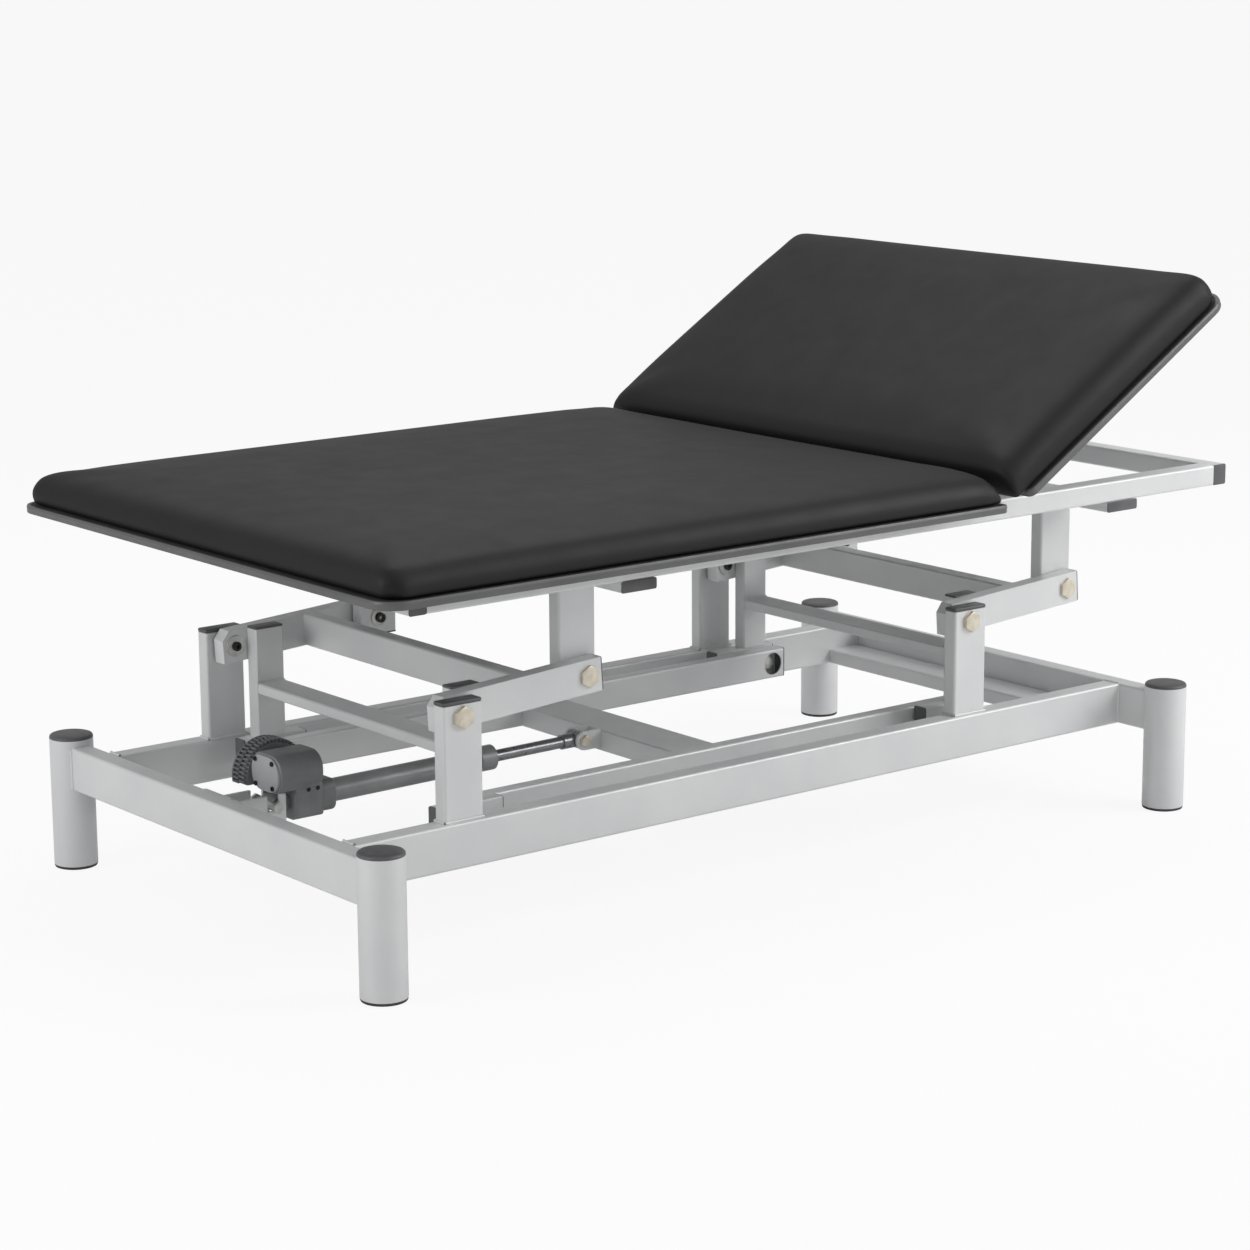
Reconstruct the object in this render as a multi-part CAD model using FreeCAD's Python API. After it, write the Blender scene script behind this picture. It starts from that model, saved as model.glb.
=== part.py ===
import FreeCAD
import Part
import math
import os

V = FreeCAD.Vector

# Height-adjustable treatment table for floor-level exercise, millimetres, +Z up.
# Lengths below are laid out from the middle of the four legs. Every solid is
# moved along X on export, so that the whole table is centred on the origin.

# Base on the floor
LEG_X = 920.0
LEG_Y = 503.0
LEG_R = 40.0
LEG_TOP = 244.0
LEG_WALL = 3.0
FOOT_H = 8.0
CAP_H = 7.0
RAIL_Z0 = 152.0
RAIL_Z1 = 232.0
RAIL_W = 40.0
SIDE_Y0 = 359.0
WALL = 3.0
CORNER = 5.0
STIFF_W = 80.0
STIFF_H = 30.0

# Posts and the lift linkage
POST_W = 80.0
POST_D = 30.0
POST_TOP = 432.0
POST_CAP = 7.0
PIVOT_Z = 410.0
FOOT_PIVOT_X = -673.0
HEAD_PIVOT_X = 502.0
ARM_Y0 = 323.0
ARM_Y1 = 353.0
ARM_H = 60.0
ARM_LEN = 295.0
ARM_REST = 3.7
ARM_TAIL = 26.0
ARM_NOSE = 27.0
HOOK_S = 15.0
HOOK_N = 17.0
CROSS_S = 150.0
CROSS_W = 30.0
LEVER_Y0 = 293.0
LEVER_Y1 = 323.0
LEVER_W = 60.0
LEVER_TOP = 441.0
SHOE_Z0 = 178.0
SHOE_Z1 = 238.0
CROSSBAR_Z0 = 321.0
CROSSBAR_Z1 = 341.0
DRIVE_DX = 70.0
DRIVE_Z = 205.0
BAR_Y0 = 257.0
BAR_Y1 = 287.0
BAR_Z0 = 175.0
BAR_Z1 = 235.0
BAR_X0 = -634.0
BAR_X1 = 600.0
ACCESS_R = 23.0
MID_X0 = -71.0
MID_X1 = 29.0
MID_Z0 = 175.0
MID_Z1 = 215.0

# Bolts and fits
BOLT_R = 8.0
FIT = 0.05
LOOSE = 0.5
FACE_GAP = 0.3
HEAD_R = 19.0
HEAD_H = 7.0
WASHER_R = 15.0
SMALL_WASHER_R = 14.0
BEVEL = 2.5
SCREW_R = 9.0

# Drive unit, a little to the far side of the middle
DRIVE_Y = 32.0
EYE_X = -109.0
EYE_Z = 200.0
CLEVIS_X = -797.0
CLEVIS_Z = 195.0
PIN_R = 6.0
SLOT_UP = 26.0
SLOT_BACK = 12.0
ROD_R = 11.0
TUBE_R = 21.0
TUBE_X0 = -669.0
COLLAR_X0 = -345.0
COLLAR_X1 = -311.0
DRUM_X = -787.0
DRUM_Z = 248.0
DRUM_R = 60.0
DRUM_W = 42.0
BLOCK_X0 = -762.0
BLOCK_Z0 = 163.0
BLOCK_Z1 = 226.0
BLOCK_Y = 30.0
CAP_LIFT = 12.0
DRUM_CUT = BLOCK_Z1 + CAP_LIFT
RIB_H = 5.0
DRUM_Y0 = -14.0
MOTOR_Y0 = -106.0
MOTOR_Z0 = 220.0
MOTOR_Z1 = 297.0
MOTOR_X0 = -836.0
MOTOR_X1 = -748.0
PLATE_T = 5.0

# Upper frame
TOP_Z0 = 618.0
TOP_Z1 = 658.0
TOP_Y1 = 480.0
TOP_W = 40.0
END_W = 35.0
END_FOOT_X0 = -840.0
END_HEAD_X1 = 1100.0
FLAT_Z0 = 598.0
FLAT_FOOT_X0 = -406.0
FLAT_HEAD_X0 = 770.0
FLAT_W = 76.0
DOWN_Y0 = 290.0
DOWN_Y1 = 320.0
DOWN_END = 30.0

# Lying surface
BOARD_Y = 592.0
BOARD_Z0 = TOP_Z1
BOARD_T = 14.0
PAD_IN = 4.0
MAIN_X0 = -961.0
MAIN_X1 = 398.0
# How far in from its edge the pad reaches each height, from its seat to its crown
PAD_STEPS = ((0, 0), (2, 16), (13, 38), (40, 57), (85, 68), (260, 76))
PAD_LEAN = 20.0
MAIN_CORNER = 46.0
SMALL_CORNER = 15.0
HINGE_X = 422.0
HINGE_Z = 659.0
BACK_REST = 31.6
BACK_X0 = 459.0
BACK_X1 = 1067.0
HINGE_R = 11.5
PIVOT_PIN_R = 5.0

# Gas spring under the backrest
GAS_A = (840.0, 631.0)
GAS_B = (540.0, 631.0)
GAS_R = 13.0
GAS_ROD_R = 4.0
GAS_BORE = 9.0

CX = (END_HEAD_X1 + MAIN_X0) / 2.0


def rounded(u0, u1, v0, v1, r):
    """Closed wire of a rectangle in the XY plane: round corners, or small flat ones."""
    k = r * (1 - math.sqrt(0.5))
    if r <= 0:
        pts = [V(u0, v0, 0), V(u1, v0, 0), V(u1, v1, 0), V(u0, v1, 0), V(u0, v0, 0)]
        return Part.makePolygon(pts)
    if r <= BEVEL:
        pts = [V(u0 + r, v0, 0), V(u1 - r, v0, 0), V(u1, v0 + r, 0), V(u1, v1 - r, 0),
               V(u1 - r, v1, 0), V(u0 + r, v1, 0), V(u0, v1 - r, 0), V(u0, v0 + r, 0)]
        return Part.makePolygon(pts + pts[:1])
    e = [
        Part.LineSegment(V(u0 + r, v0, 0), V(u1 - r, v0, 0)),
        Part.Arc(V(u1 - r, v0, 0), V(u1 - k, v0 + k, 0), V(u1, v0 + r, 0)),
        Part.LineSegment(V(u1, v0 + r, 0), V(u1, v1 - r, 0)),
        Part.Arc(V(u1, v1 - r, 0), V(u1 - k, v1 - k, 0), V(u1 - r, v1, 0)),
        Part.LineSegment(V(u1 - r, v1, 0), V(u0 + r, v1, 0)),
        Part.Arc(V(u0 + r, v1, 0), V(u0 + k, v1 - k, 0), V(u0, v1 - r, 0)),
        Part.LineSegment(V(u0, v1 - r, 0), V(u0, v0 + r, 0)),
        Part.Arc(V(u0, v0 + r, 0), V(u0 + k, v0 + k, 0), V(u0 + r, v0, 0)),
    ]
    return Part.Wire([s.toShape() for s in e])


def bar(axis, lo, hi, a0, a1, b0, b1, r=CORNER):
    """Solid bar along an axis; a and b are the two cross axes in x, y, z order."""
    solid = Part.Face(rounded(a0, a1, b0, b1, r)).extrude(V(0, 0, hi - lo))
    if axis == "y":
        solid.translate(V(0, 0, -hi))
        solid.rotate(V(0, 0, 0), V(1, 0, 0), 90)
        return solid
    solid.translate(V(0, 0, lo))
    if axis == "x":
        solid.rotate(V(0, 0, 0), V(1, 1, 1), 120)
    return solid


def tube(axis, lo, hi, a0, a1, b0, b1, wall=WALL, r=CORNER):
    """Open rectangular tube with rounded outside corners."""
    inner = bar(axis, lo - 1, hi + 1, a0 + wall, a1 - wall, b0 + wall, b1 - wall, 0)
    return bar(axis, lo, hi, a0, a1, b0, b1, r).cut(inner)


def cyl(axis, r, lo, hi, c1, c2):
    """Cylinder along an axis; c1 and c2 are the other coordinates in order."""
    if axis == "x":
        return Part.makeCylinder(r, hi - lo, V(lo, c1, c2), V(1, 0, 0))
    if axis == "y":
        return Part.makeCylinder(r, hi - lo, V(c1, lo, c2), V(0, 1, 0))
    return Part.makeCylinder(r, hi - lo, V(c1, c2, lo), V(0, 0, 1))


def prism(r, lo, hi, x, z, n=20):
    """Many-sided bar along Y for bolts, washers and pins that don't turn in a bore."""
    pts = []
    for k in range(n + 1):
        a = 2 * math.pi * (k + 0.5) / n
        pts.append(V(x + r * math.cos(a), lo, z + r * math.sin(a)))
    return Part.Face(Part.makePolygon(pts)).extrude(V(0, hi - lo, 0))


def hexagon(r, lo, hi, x, z):
    """Six-sided bolt head or nut along Y."""
    return prism(r, lo, hi, x, z, 6)


def box(x0, x1, y0, y1, z0, z1):
    return Part.makeBox(x1 - x0, y1 - y0, z1 - z0, V(x0, y0, z0))


def flip(shape):
    """The same shape on the other side of the table."""
    return shape.mirror(V(0, 0, 0), V(0, 1, 0))


def aside(shape):
    """The same shape on the line of the drive unit."""
    out = shape.copy()
    out.translate(V(0, DRIVE_Y, 0))
    return out


def join(shapes):
    first = shapes[0]
    return first.fuse(shapes[1:]) if len(shapes) > 1 else first


def turned(shape, x, z, degrees):
    """Turned about a line along Y; positive raises the +X side."""
    out = shape.copy()
    out.rotate(V(x, 0, z), V(0, -1, 0), degrees)
    return out


def side(a, b, s):
    """A span of Y on the near side (s = -1) or the far side (s = 1)."""
    return (a, b) if s > 0 else (-b, -a)


parts = {}

# Legs: round tubes with dark plugs on top and rubber feet below
for nx, x in (("foot", -LEG_X), ("head", LEG_X)):
    for ny, y in (("near", -LEG_Y), ("far", LEG_Y)):
        leg = cyl("z", LEG_R, FOOT_H - 2, LEG_TOP, x, y)
        leg = leg.cut(cyl("z", LEG_R - LEG_WALL, 0, LEG_TOP + 1, x, y))
        parts["leg_%s_%s" % (nx, ny)] = leg
feet = []
for x in (-LEG_X, LEG_X):
    for y in (-LEG_Y, LEG_Y):
        feet.append(cyl("z", LEG_R - 0.5, 0, FOOT_H - 2, x, y))
parts["leg_feet"] = Part.makeCompound(feet)

# End rails, coped to the legs
for nx, s in (("foot", -1), ("head", 1)):
    x0, x1 = side(LEG_X - RAIL_W / 2, LEG_X + RAIL_W / 2, s)
    rail = tube("y", -LEG_Y, LEG_Y, x0, x1, RAIL_Z0, RAIL_Z1)
    for y in (-LEG_Y, LEG_Y):
        rail = rail.cut(cyl("z", LEG_R, 0, LEG_TOP, s * LEG_X, y))
    parts["end_rail_" + nx] = rail

# Side rails between the end rails, and the low stiffener at the head end
RAIL_X = LEG_X - RAIL_W / 2
for ny, s in (("near", -1), ("far", 1)):
    y0, y1 = side(SIDE_Y0, SIDE_Y0 + RAIL_W, s)
    parts["side_rail_" + ny] = tube("x", -RAIL_X, RAIL_X, y0, y1, RAIL_Z0, RAIL_Z1)
parts["head_stiffener"] = tube("y", -SIDE_Y0, SIDE_Y0, RAIL_X - STIFF_W, RAIL_X,
                               RAIL_Z0, RAIL_Z0 + STIFF_H)

# Posts on the side rails, bored for the lower pivots
for nx, x in (("foot", FOOT_PIVOT_X), ("head", HEAD_PIVOT_X)):
    for ny, s in (("near", -1), ("far", 1)):
        y0, y1 = side(SIDE_Y0, SIDE_Y0 + POST_D, s)
        post = tube("z", RAIL_Z1, POST_TOP, x - POST_W / 2, x + POST_W / 2, y0, y1)
        post = post.cut(prism(BOLT_R, y0 - 1, y1 + 1, x, PIVOT_Z, 16))
        parts["post_%s_%s" % (nx, ny)] = post

# Plugs in the tops of the legs and posts
plugs = []
for x in (-LEG_X, LEG_X):
    for y in (-LEG_Y, LEG_Y):
        plugs.append(cyl("z", LEG_R, LEG_TOP, LEG_TOP + CAP_H, x, y))
for x in (FOOT_PIVOT_X, HEAD_PIVOT_X):
    for s in (-1, 1):
        y0, y1 = side(SIDE_Y0, SIDE_Y0 + POST_D, s)
        plugs.append(bar("z", POST_TOP, POST_TOP + POST_CAP, x - POST_W / 2,
                         x + POST_W / 2, y0, y1, BEVEL))
parts["base_plugs"] = Part.makeCompound(plugs)

# Lower pivot bolts: hexagon head outside, collar, shank, washer and screw inside
bolts = []
for x in (FOOT_PIVOT_X, HEAD_PIVOT_X):
    for s in (-1, 1):
        y = SIDE_Y0 + POST_D
        bolt = join([
            hexagon(HEAD_R, y, y + HEAD_H, x, PIVOT_Z),
            prism(BOLT_R, ARM_Y0 - 6, y + 1, x, PIVOT_Z, 16),
            prism(WASHER_R, ARM_Y1 + FACE_GAP, SIDE_Y0, x, PIVOT_Z),
            prism(SMALL_WASHER_R, ARM_Y0 - FACE_GAP - 3, ARM_Y0 - FACE_GAP, x, PIVOT_Z),
            prism(SCREW_R, ARM_Y0 - 9, ARM_Y0 - 3, x, PIVOT_Z, 16),
        ])
        bolts.append(bolt if s > 0 else flip(bolt))
parts["lower_pivot_bolts"] = Part.makeCompound(bolts)

# Bracket for the drive unit: two ears with an open slot for the rear pin
ears = []
for s in (-1, 1):
    y0, y1 = side(24.0, 30.0, s)
    ear = box(-RAIL_X, CLEVIS_X + 20, y0, y1, RAIL_Z0 + 10, MOTOR_Z0 - 4)
    window = box(CLEVIS_X - PIN_R - SLOT_BACK, CLEVIS_X + PIN_R + 1.5, y0 - 1, y1 + 1,
                 CLEVIS_Z - PIN_R - 1.5, CLEVIS_Z + PIN_R + SLOT_UP)
    ears.append(ear.cut(window))
ears.append(box(-RAIL_X, -RAIL_X + 40, -24, 24, RAIL_Z1 - 28, RAIL_Z1 - 20))
ears.append(box(-RAIL_X, -RAIL_X + 6, -42, 42, RAIL_Z0 + 6, RAIL_Z1 - 2))
parts["actuator_bracket"] = aside(join(ears))


def arm_point(px, s, n):
    """A point of the lift arm, s along it and n square to it, at rest."""
    a = math.radians(ARM_REST)
    return (px + s * math.cos(a) - n * math.sin(a),
            PIVOT_Z + s * math.sin(a) + n * math.cos(a))


def arm_plate(px, inset, y0, y1, nose):
    """Side outline of an arm with its beveled tail, thick in Y."""
    n = ARM_H / 2 - inset
    s0 = -ARM_TAIL + inset
    s1 = ARM_LEN + ARM_NOSE + nose
    hook = inset * 0.4
    out = [(s0, -n), (s1, -n), (s1, n), (s0 + HOOK_S - hook, n), (s0, n - HOOK_N + hook)]
    pts = [V(px + s, y0, PIVOT_Z + m) for s, m in out]
    pts.append(pts[0])
    face = Part.Face(Part.makePolygon(pts))
    return turned(face.extrude(V(0, y1 - y0, 0)), px, PIVOT_Z, ARM_REST)


def lift_arms(name, px, lever_x, shoe_x0, shoe_x1, open_upper, open_drive):
    """One pair of lift arms with its levers, cross tube, crossbar and plugs."""
    ux, uz = arm_point(px, ARM_LEN, 0)
    dx = px + DRIVE_DX
    trim = []
    for ny, s in (("near", -1), ("far", 1)):
        y0, y1 = side(ARM_Y0, ARM_Y1, s)
        arm = arm_plate(px, 0, y0, y1, 0)
        arm = arm.cut(arm_plate(px, WALL, y0 + WALL, y1 - WALL, 5))
        arm = arm.cut(cyl("y", BOLT_R + FIT, y0 - 1, y1 + 1, px, PIVOT_Z))
        gap = LOOSE if open_upper else FIT
        arm = arm.cut(cyl("y", BOLT_R + gap, y0 - 1, y1 + 1, ux, uz))
        parts["%s_arm_%s" % (name, ny)] = arm
        y0, y1 = side(LEVER_Y0, LEVER_Y1, s)
        lever = tube("z", SHOE_Z1, LEVER_TOP, lever_x, lever_x + LEVER_W, y0, y1,
                     WALL, BEVEL)
        shoe = tube("x", shoe_x0, shoe_x1, y0, y1, SHOE_Z0, SHOE_Z1, WALL, BEVEL)
        lever = lever.fuse(shoe)
        gap = LOOSE if open_drive else FIT
        lever = lever.cut(cyl("y", BOLT_R + gap, y0 - 1, y1 + 1, dx, DRIVE_Z))
        parts["%s_lever_%s" % (name, ny)] = lever
        trim.append(bar("z", LEVER_TOP, LEVER_TOP + 4, lever_x, lever_x + LEVER_W,
                        y0, y1, BEVEL))
        for x0, x1 in ((shoe_x0 - 4, shoe_x0), (shoe_x1, shoe_x1 + 2)):
            trim.append(bar("x", x0, x1, y0, y1, SHOE_Z0, SHOE_Z1, BEVEL))
        y0, y1 = side(ARM_Y0, ARM_Y1, s)
        end = bar("x", px + ARM_LEN + ARM_NOSE, px + ARM_LEN + ARM_NOSE + 2.5, y0, y1,
                  PIVOT_Z - ARM_H / 2, PIVOT_Z + ARM_H / 2, 2)
        trim.append(turned(end, px, PIVOT_Z, ARM_REST))
    parts[name + "_arm_plugs"] = Part.makeCompound(trim)
    cross = tube("y", -ARM_Y0, ARM_Y0, px + CROSS_S, px + CROSS_S + CROSS_W,
                 PIVOT_Z - ARM_H / 2, PIVOT_Z + ARM_H / 2, WALL, BEVEL)
    parts[name + "_arm_cross_tube"] = turned(cross, px, PIVOT_Z, ARM_REST)
    parts[name + "_crossbar"] = tube("y", -LEVER_Y0, LEVER_Y0, lever_x + 1,
                                     lever_x + LEVER_W - 1, CROSSBAR_Z0, CROSSBAR_Z1,
                                     2.5, BEVEL)
    return ux, uz


FOOT_UP = lift_arms("foot", FOOT_PIVOT_X, -648.0, -676.0, -545.0, False, False)
HEAD_UP = lift_arms("head", HEAD_PIVOT_X, 524.0, 453.0, 601.0, True, True)

# Drive frame: two long bars, a wide cross tube with the lug, and fittings
DRIVE_PIVOTS = (FOOT_PIVOT_X + DRIVE_DX, HEAD_PIVOT_X + DRIVE_DX)
for ny, s in (("near", -1), ("far", 1)):
    y0, y1 = side(BAR_Y0, BAR_Y1, s)
    rail = tube("x", BAR_X0, BAR_X1, y0, y1, BAR_Z0, BAR_Z1)
    inner = side(BAR_Y0 - 1, BAR_Y0 + WALL + 1, s)
    outer = side(BAR_Y1 - WALL - 1, BAR_Y1 + 1, s)
    for x in DRIVE_PIVOTS:
        rail = rail.cut(prism(BOLT_R, outer[0], outer[1], x, DRIVE_Z, 16))
        rail = rail.cut(prism(ACCESS_R, inner[0], inner[1], x, DRIVE_Z, 32))
    parts["drive_bar_" + ny] = rail
cross = tube("y", -BAR_Y0, BAR_Y0, MID_X0, MID_X1, MID_Z0, MID_Z1, WALL, BEVEL)
lugs = []
for s in (-1, 1):
    y0, y1 = side(16.0, 22.0, s)
    lug = box(EYE_X, MID_X0, y0, y1, EYE_Z - 18, EYE_Z + 18)
    lug = lug.fuse(prism(18.0, y0, y1, EYE_X, EYE_Z, 24))
    lugs.append(aside(lug))
cross = cross.fuse(lugs)
cross = cross.cut(aside(prism(BOLT_R, -23, 23, EYE_X, EYE_Z, 16)))
parts["drive_cross_tube"] = cross
fittings = []
for s in (-1, 1):
    for x in DRIVE_PIVOTS:
        bolt = join([
            prism(BOLT_R, BAR_Y1 - WALL - 12, LEVER_Y1 + 8, x, DRIVE_Z, 16),
            prism(13.0, BAR_Y1 - WALL - 12, BAR_Y1 - WALL, x, DRIVE_Z, 16),
            prism(WASHER_R, BAR_Y1, LEVER_Y0 - FACE_GAP, x, DRIVE_Z),
            prism(WASHER_R, LEVER_Y1 + FACE_GAP, LEVER_Y1 + 3, x, DRIVE_Z),
            hexagon(12.0, LEVER_Y1 + 3, LEVER_Y1 + 9, x, DRIVE_Z),
        ])
        fittings.append(bolt if s > 0 else flip(bolt))
    y0, y1 = side(BAR_Y0, BAR_Y1, s)
    fittings.append(bar("x", BAR_X1, BAR_X1 + 3, y0, y1, BAR_Z0, BAR_Z1, BEVEL))
    fittings.append(bar("x", BAR_X0 - 3, BAR_X0, y0, y1, BAR_Z0, BAR_Z1, BEVEL))
eye_bolt = prism(BOLT_R, -22, 22, EYE_X, EYE_Z, 16)
eye_bolt = eye_bolt.fuse([hexagon(12.0, -29, -22, EYE_X, EYE_Z),
                          hexagon(12.0, 22, 28, EYE_X, EYE_Z)])
fittings.append(aside(eye_bolt))
parts["drive_fittings"] = Part.makeCompound(fittings)

# Push rod: eye with shank collar, then the rod that slides in the outer tube
LEAN = math.degrees(math.atan2(EYE_Z - CLEVIS_Z, EYE_X - CLEVIS_X))
ROD_END = COLLAR_X1 - 150.0
rod = prism(17.0, -15, 15, EYE_X, EYE_Z, 32)
rod = rod.fuse([cyl("x", ROD_R + 3, EYE_X - 40, EYE_X - 12, 0, EYE_Z),
                cyl("x", ROD_R, ROD_END, EYE_X - 30, 0, EYE_Z)])
rod = rod.cut(cyl("y", BOLT_R + FIT, -16, 16, EYE_X, EYE_Z))
parts["push_rod"] = aside(turned(rod, EYE_X, EYE_Z, LEAN))

# Outer tube with its collar, lying on the same axis as the rod
outer = cyl("x", TUBE_R, TUBE_X0 + 0.5, COLLAR_X1, 0, EYE_Z)
outer = outer.fuse(cyl("x", TUBE_R + 2.5, COLLAR_X0, COLLAR_X1, 0, EYE_Z))
outer = outer.cut(bar("x", TUBE_X0 + 3, COLLAR_X1 - 8, -12, 12, EYE_Z - 12, EYE_Z + 12, 0))
outer = outer.cut(cyl("x", ROD_R + FIT, COLLAR_X1 - 9, COLLAR_X1 + 1, 0, EYE_Z))
parts["outer_tube"] = aside(turned(outer, EYE_X, EYE_Z, LEAN))

# Gear housing: lower block on the tube axis, rear lug, and the motor barrel above
lower = bar("x", BLOCK_X0, TUBE_X0 - 0.5, -BLOCK_Y, BLOCK_Y, BLOCK_Z0, BLOCK_Z1, 6)
for k in range(3):
    lower = lower.cut(prism(3.5, -BLOCK_Y - 1, -BLOCK_Y + 8, BLOCK_X0 + 14 + 19 * k,
                            BLOCK_Z1 - 12, 12))
lug = box(CLEVIS_X, BLOCK_X0, -20, 20, CLEVIS_Z - 16, CLEVIS_Z + 16)
lug = lug.fuse(prism(16.0, -20, 20, CLEVIS_X, CLEVIS_Z, 24))
pin = prism(PIN_R, -40, 40, CLEVIS_X, CLEVIS_Z, 16)
pin = pin.fuse([hexagon(11.0, -40, -33, CLEVIS_X, CLEVIS_Z),
                hexagon(11.0, 33, 40, CLEVIS_X, CLEVIS_Z)])
neck = box(BLOCK_X0, BLOCK_X0 + 42, 2 - BLOCK_Y, DRUM_Y0 - FACE_GAP, BLOCK_Z1 - 11,
           BLOCK_Z1 + 36)
motor = bar("x", MOTOR_X0, MOTOR_X1, MOTOR_Y0, DRUM_Y0 - FACE_GAP, MOTOR_Z0, MOTOR_Z1, 31)
plate_x0 = MOTOR_X0 - PLATE_T
plate = bar("x", plate_x0, MOTOR_X0, MOTOR_Y0 + 4, DRUM_Y0 - 4, MOTOR_Z0 + 4,
            MOTOR_Z1 - 4, 28)
screws = []
for y in (DRUM_Y0 - 20, MOTOR_Y0 + 20):
    for z in (MOTOR_Z1 - 13, MOTOR_Z0 + 13):
        screws.append(bar("x", plate_x0 - 3, plate_x0, y - 4, y + 4, z - 4, z + 4, BEVEL))
shelf = box(BLOCK_X0, BLOCK_X0 + 22, -BLOCK_Y - 10, 10 - BLOCK_Y, BLOCK_Z1 - 14, BLOCK_Z1 + 6)
parts["gear_housing"] = aside(join([lower, lug, pin, neck, shelf, motor, plate] + screws))

# Ribbed cap around the gear wheel: two rows of ribs on an arched band
cap = cyl("y", DRUM_R, DRUM_Y0, DRUM_Y0 + DRUM_W, DRUM_X, DRUM_Z)
ribs = []
for row, y0 in enumerate((DRUM_Y0 + 3, DRUM_Y0 + 23)):
    y1 = y0 + 17
    for k in range(14):
        a = math.radians(-4 + 14.4 * k + 7.2 * row)
        rib = box(DRUM_X - 3, DRUM_X + 3, y0, y1, DRUM_Z + DRUM_R - 4,
                  DRUM_Z + DRUM_R + RIB_H)
        rib.rotate(V(DRUM_X, 0, DRUM_Z), V(0, -1, 0), math.degrees(a) - 90)
        ribs.append(rib)
cap = cap.fuse(ribs)
reach = DRUM_R + 2 * RIB_H
cap = cap.common(box(DRUM_X - reach, DRUM_X + reach, DRUM_Y0 - 5, DRUM_Y0 + DRUM_W + 5,
                     DRUM_CUT, DRUM_Z + reach))
parts["ribbed_cap"] = aside(cap)

# Upper frame: side rails, end rails with open ends plugged, hinge rail
for ny, s in (("near", -1), ("far", 1)):
    y0, y1 = side(TOP_Y1 - TOP_W, TOP_Y1, s)
    parts["top_rail_" + ny] = tube("x", END_FOOT_X0 + END_W, END_HEAD_X1 - END_W,
                                   y0, y1, TOP_Z0, TOP_Z1)
parts["top_end_foot"] = tube("y", -TOP_Y1 + 2, TOP_Y1 - 2, END_FOOT_X0,
                             END_FOOT_X0 + END_W, TOP_Z0, TOP_Z1)
parts["top_end_head"] = tube("y", -TOP_Y1 + 2, TOP_Y1 - 2, END_HEAD_X1 - END_W,
                             END_HEAD_X1, TOP_Z0, TOP_Z1)
INNER_Y = TOP_Y1 - TOP_W
parts["hinge_rail"] = tube("y", -INNER_Y, INNER_Y, MAIN_X1 - TOP_W, MAIN_X1,
                           TOP_Z0, TOP_Z1, WALL, BEVEL)

# Flat cross tubes below the side rails; the head one carries the strut ears
flat = tube("y", -TOP_Y1 + 2, TOP_Y1 - 2, FLAT_FOOT_X0, FLAT_FOOT_X0 + FLAT_W, FLAT_Z0, TOP_Z0)
parts["flat_tube_foot"] = flat
flat = tube("y", -TOP_Y1 + 2, TOP_Y1 - 2, FLAT_HEAD_X0, FLAT_HEAD_X0 + FLAT_W, FLAT_Z0, TOP_Z0)
for s in (-1, 1):
    y0, y1 = side(GAS_R + 1.5, GAS_R + 6.5, s)
    ear = box(GAS_A[0] - 10, GAS_A[0] + 10, y0, y1, TOP_Z0 - 0.5, GAS_A[1])
    ear = ear.fuse(prism(10.0, y0, y1, GAS_A[0], GAS_A[1]))
    flat = flat.fuse(ear)
ax, az = GAS_A
flat = flat.fuse(prism(5.0, -GAS_R - 9, GAS_R + 9, ax, az, 12))
parts["flat_tube_head"] = flat

# Down posts carried by the lift arms
for nx, (ux, uz) in (("foot", FOOT_UP), ("head", HEAD_UP)):
    for ny, s in (("near", -1), ("far", 1)):
        y0, y1 = side(DOWN_Y0, DOWN_Y1, s)
        post = tube("z", uz - DOWN_END, FLAT_Z0, ux - POST_W / 2, ux + POST_W / 2, y0, y1)
        post = post.cut(prism(BOLT_R, y0 - 1, y1 + 1, ux, uz, 16))
        parts["down_post_%s_%s" % (nx, ny)] = post
screws = []
for ux, uz in (FOOT_UP, HEAD_UP):
    for s in (-1, 1):
        screw = join([
            prism(BOLT_R, DOWN_Y0 - 6, ARM_Y1 + 5, ux, uz, 16),
            hexagon(HEAD_R - 3, ARM_Y1 + FACE_GAP, ARM_Y1 + 5.5, ux, uz),
            prism(WASHER_R, DOWN_Y1, ARM_Y0 - FACE_GAP, ux, uz),
            prism(WASHER_R, DOWN_Y0 - 3, DOWN_Y0, ux, uz),
            prism(SCREW_R, DOWN_Y0 - 10, DOWN_Y0 - 3, ux, uz, 16),
        ])
        screws.append(screw if s > 0 else flip(screw))
parts["upper_pivot_screws"] = Part.makeCompound(screws)
plugs = []
for s in (-1, 1):
    y0, y1 = side(TOP_Y1 - 2, TOP_Y1, s)
    for x0, x1, z0, z1 in (
            (END_FOOT_X0, END_FOOT_X0 + END_W, TOP_Z0, TOP_Z1),
            (END_HEAD_X1 - END_W, END_HEAD_X1, TOP_Z0, TOP_Z1),
            (FLAT_FOOT_X0, FLAT_FOOT_X0 + FLAT_W, FLAT_Z0, TOP_Z0),
            (FLAT_HEAD_X0, FLAT_HEAD_X0 + FLAT_W, FLAT_Z0, TOP_Z0)):
        plugs.append(bar("y", y0, y1, x0, x1, z0, z1, BEVEL))
for ux, uz in (FOOT_UP, HEAD_UP):
    for s in (-1, 1):
        y0, y1 = side(DOWN_Y0, DOWN_Y1, s)
        plugs.append(bar("z", uz - DOWN_END - 3, uz - DOWN_END, ux - POST_W / 2,
                         ux + POST_W / 2, y0, y1, BEVEL))
parts["upper_plugs"] = Part.makeCompound(plugs)

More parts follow.
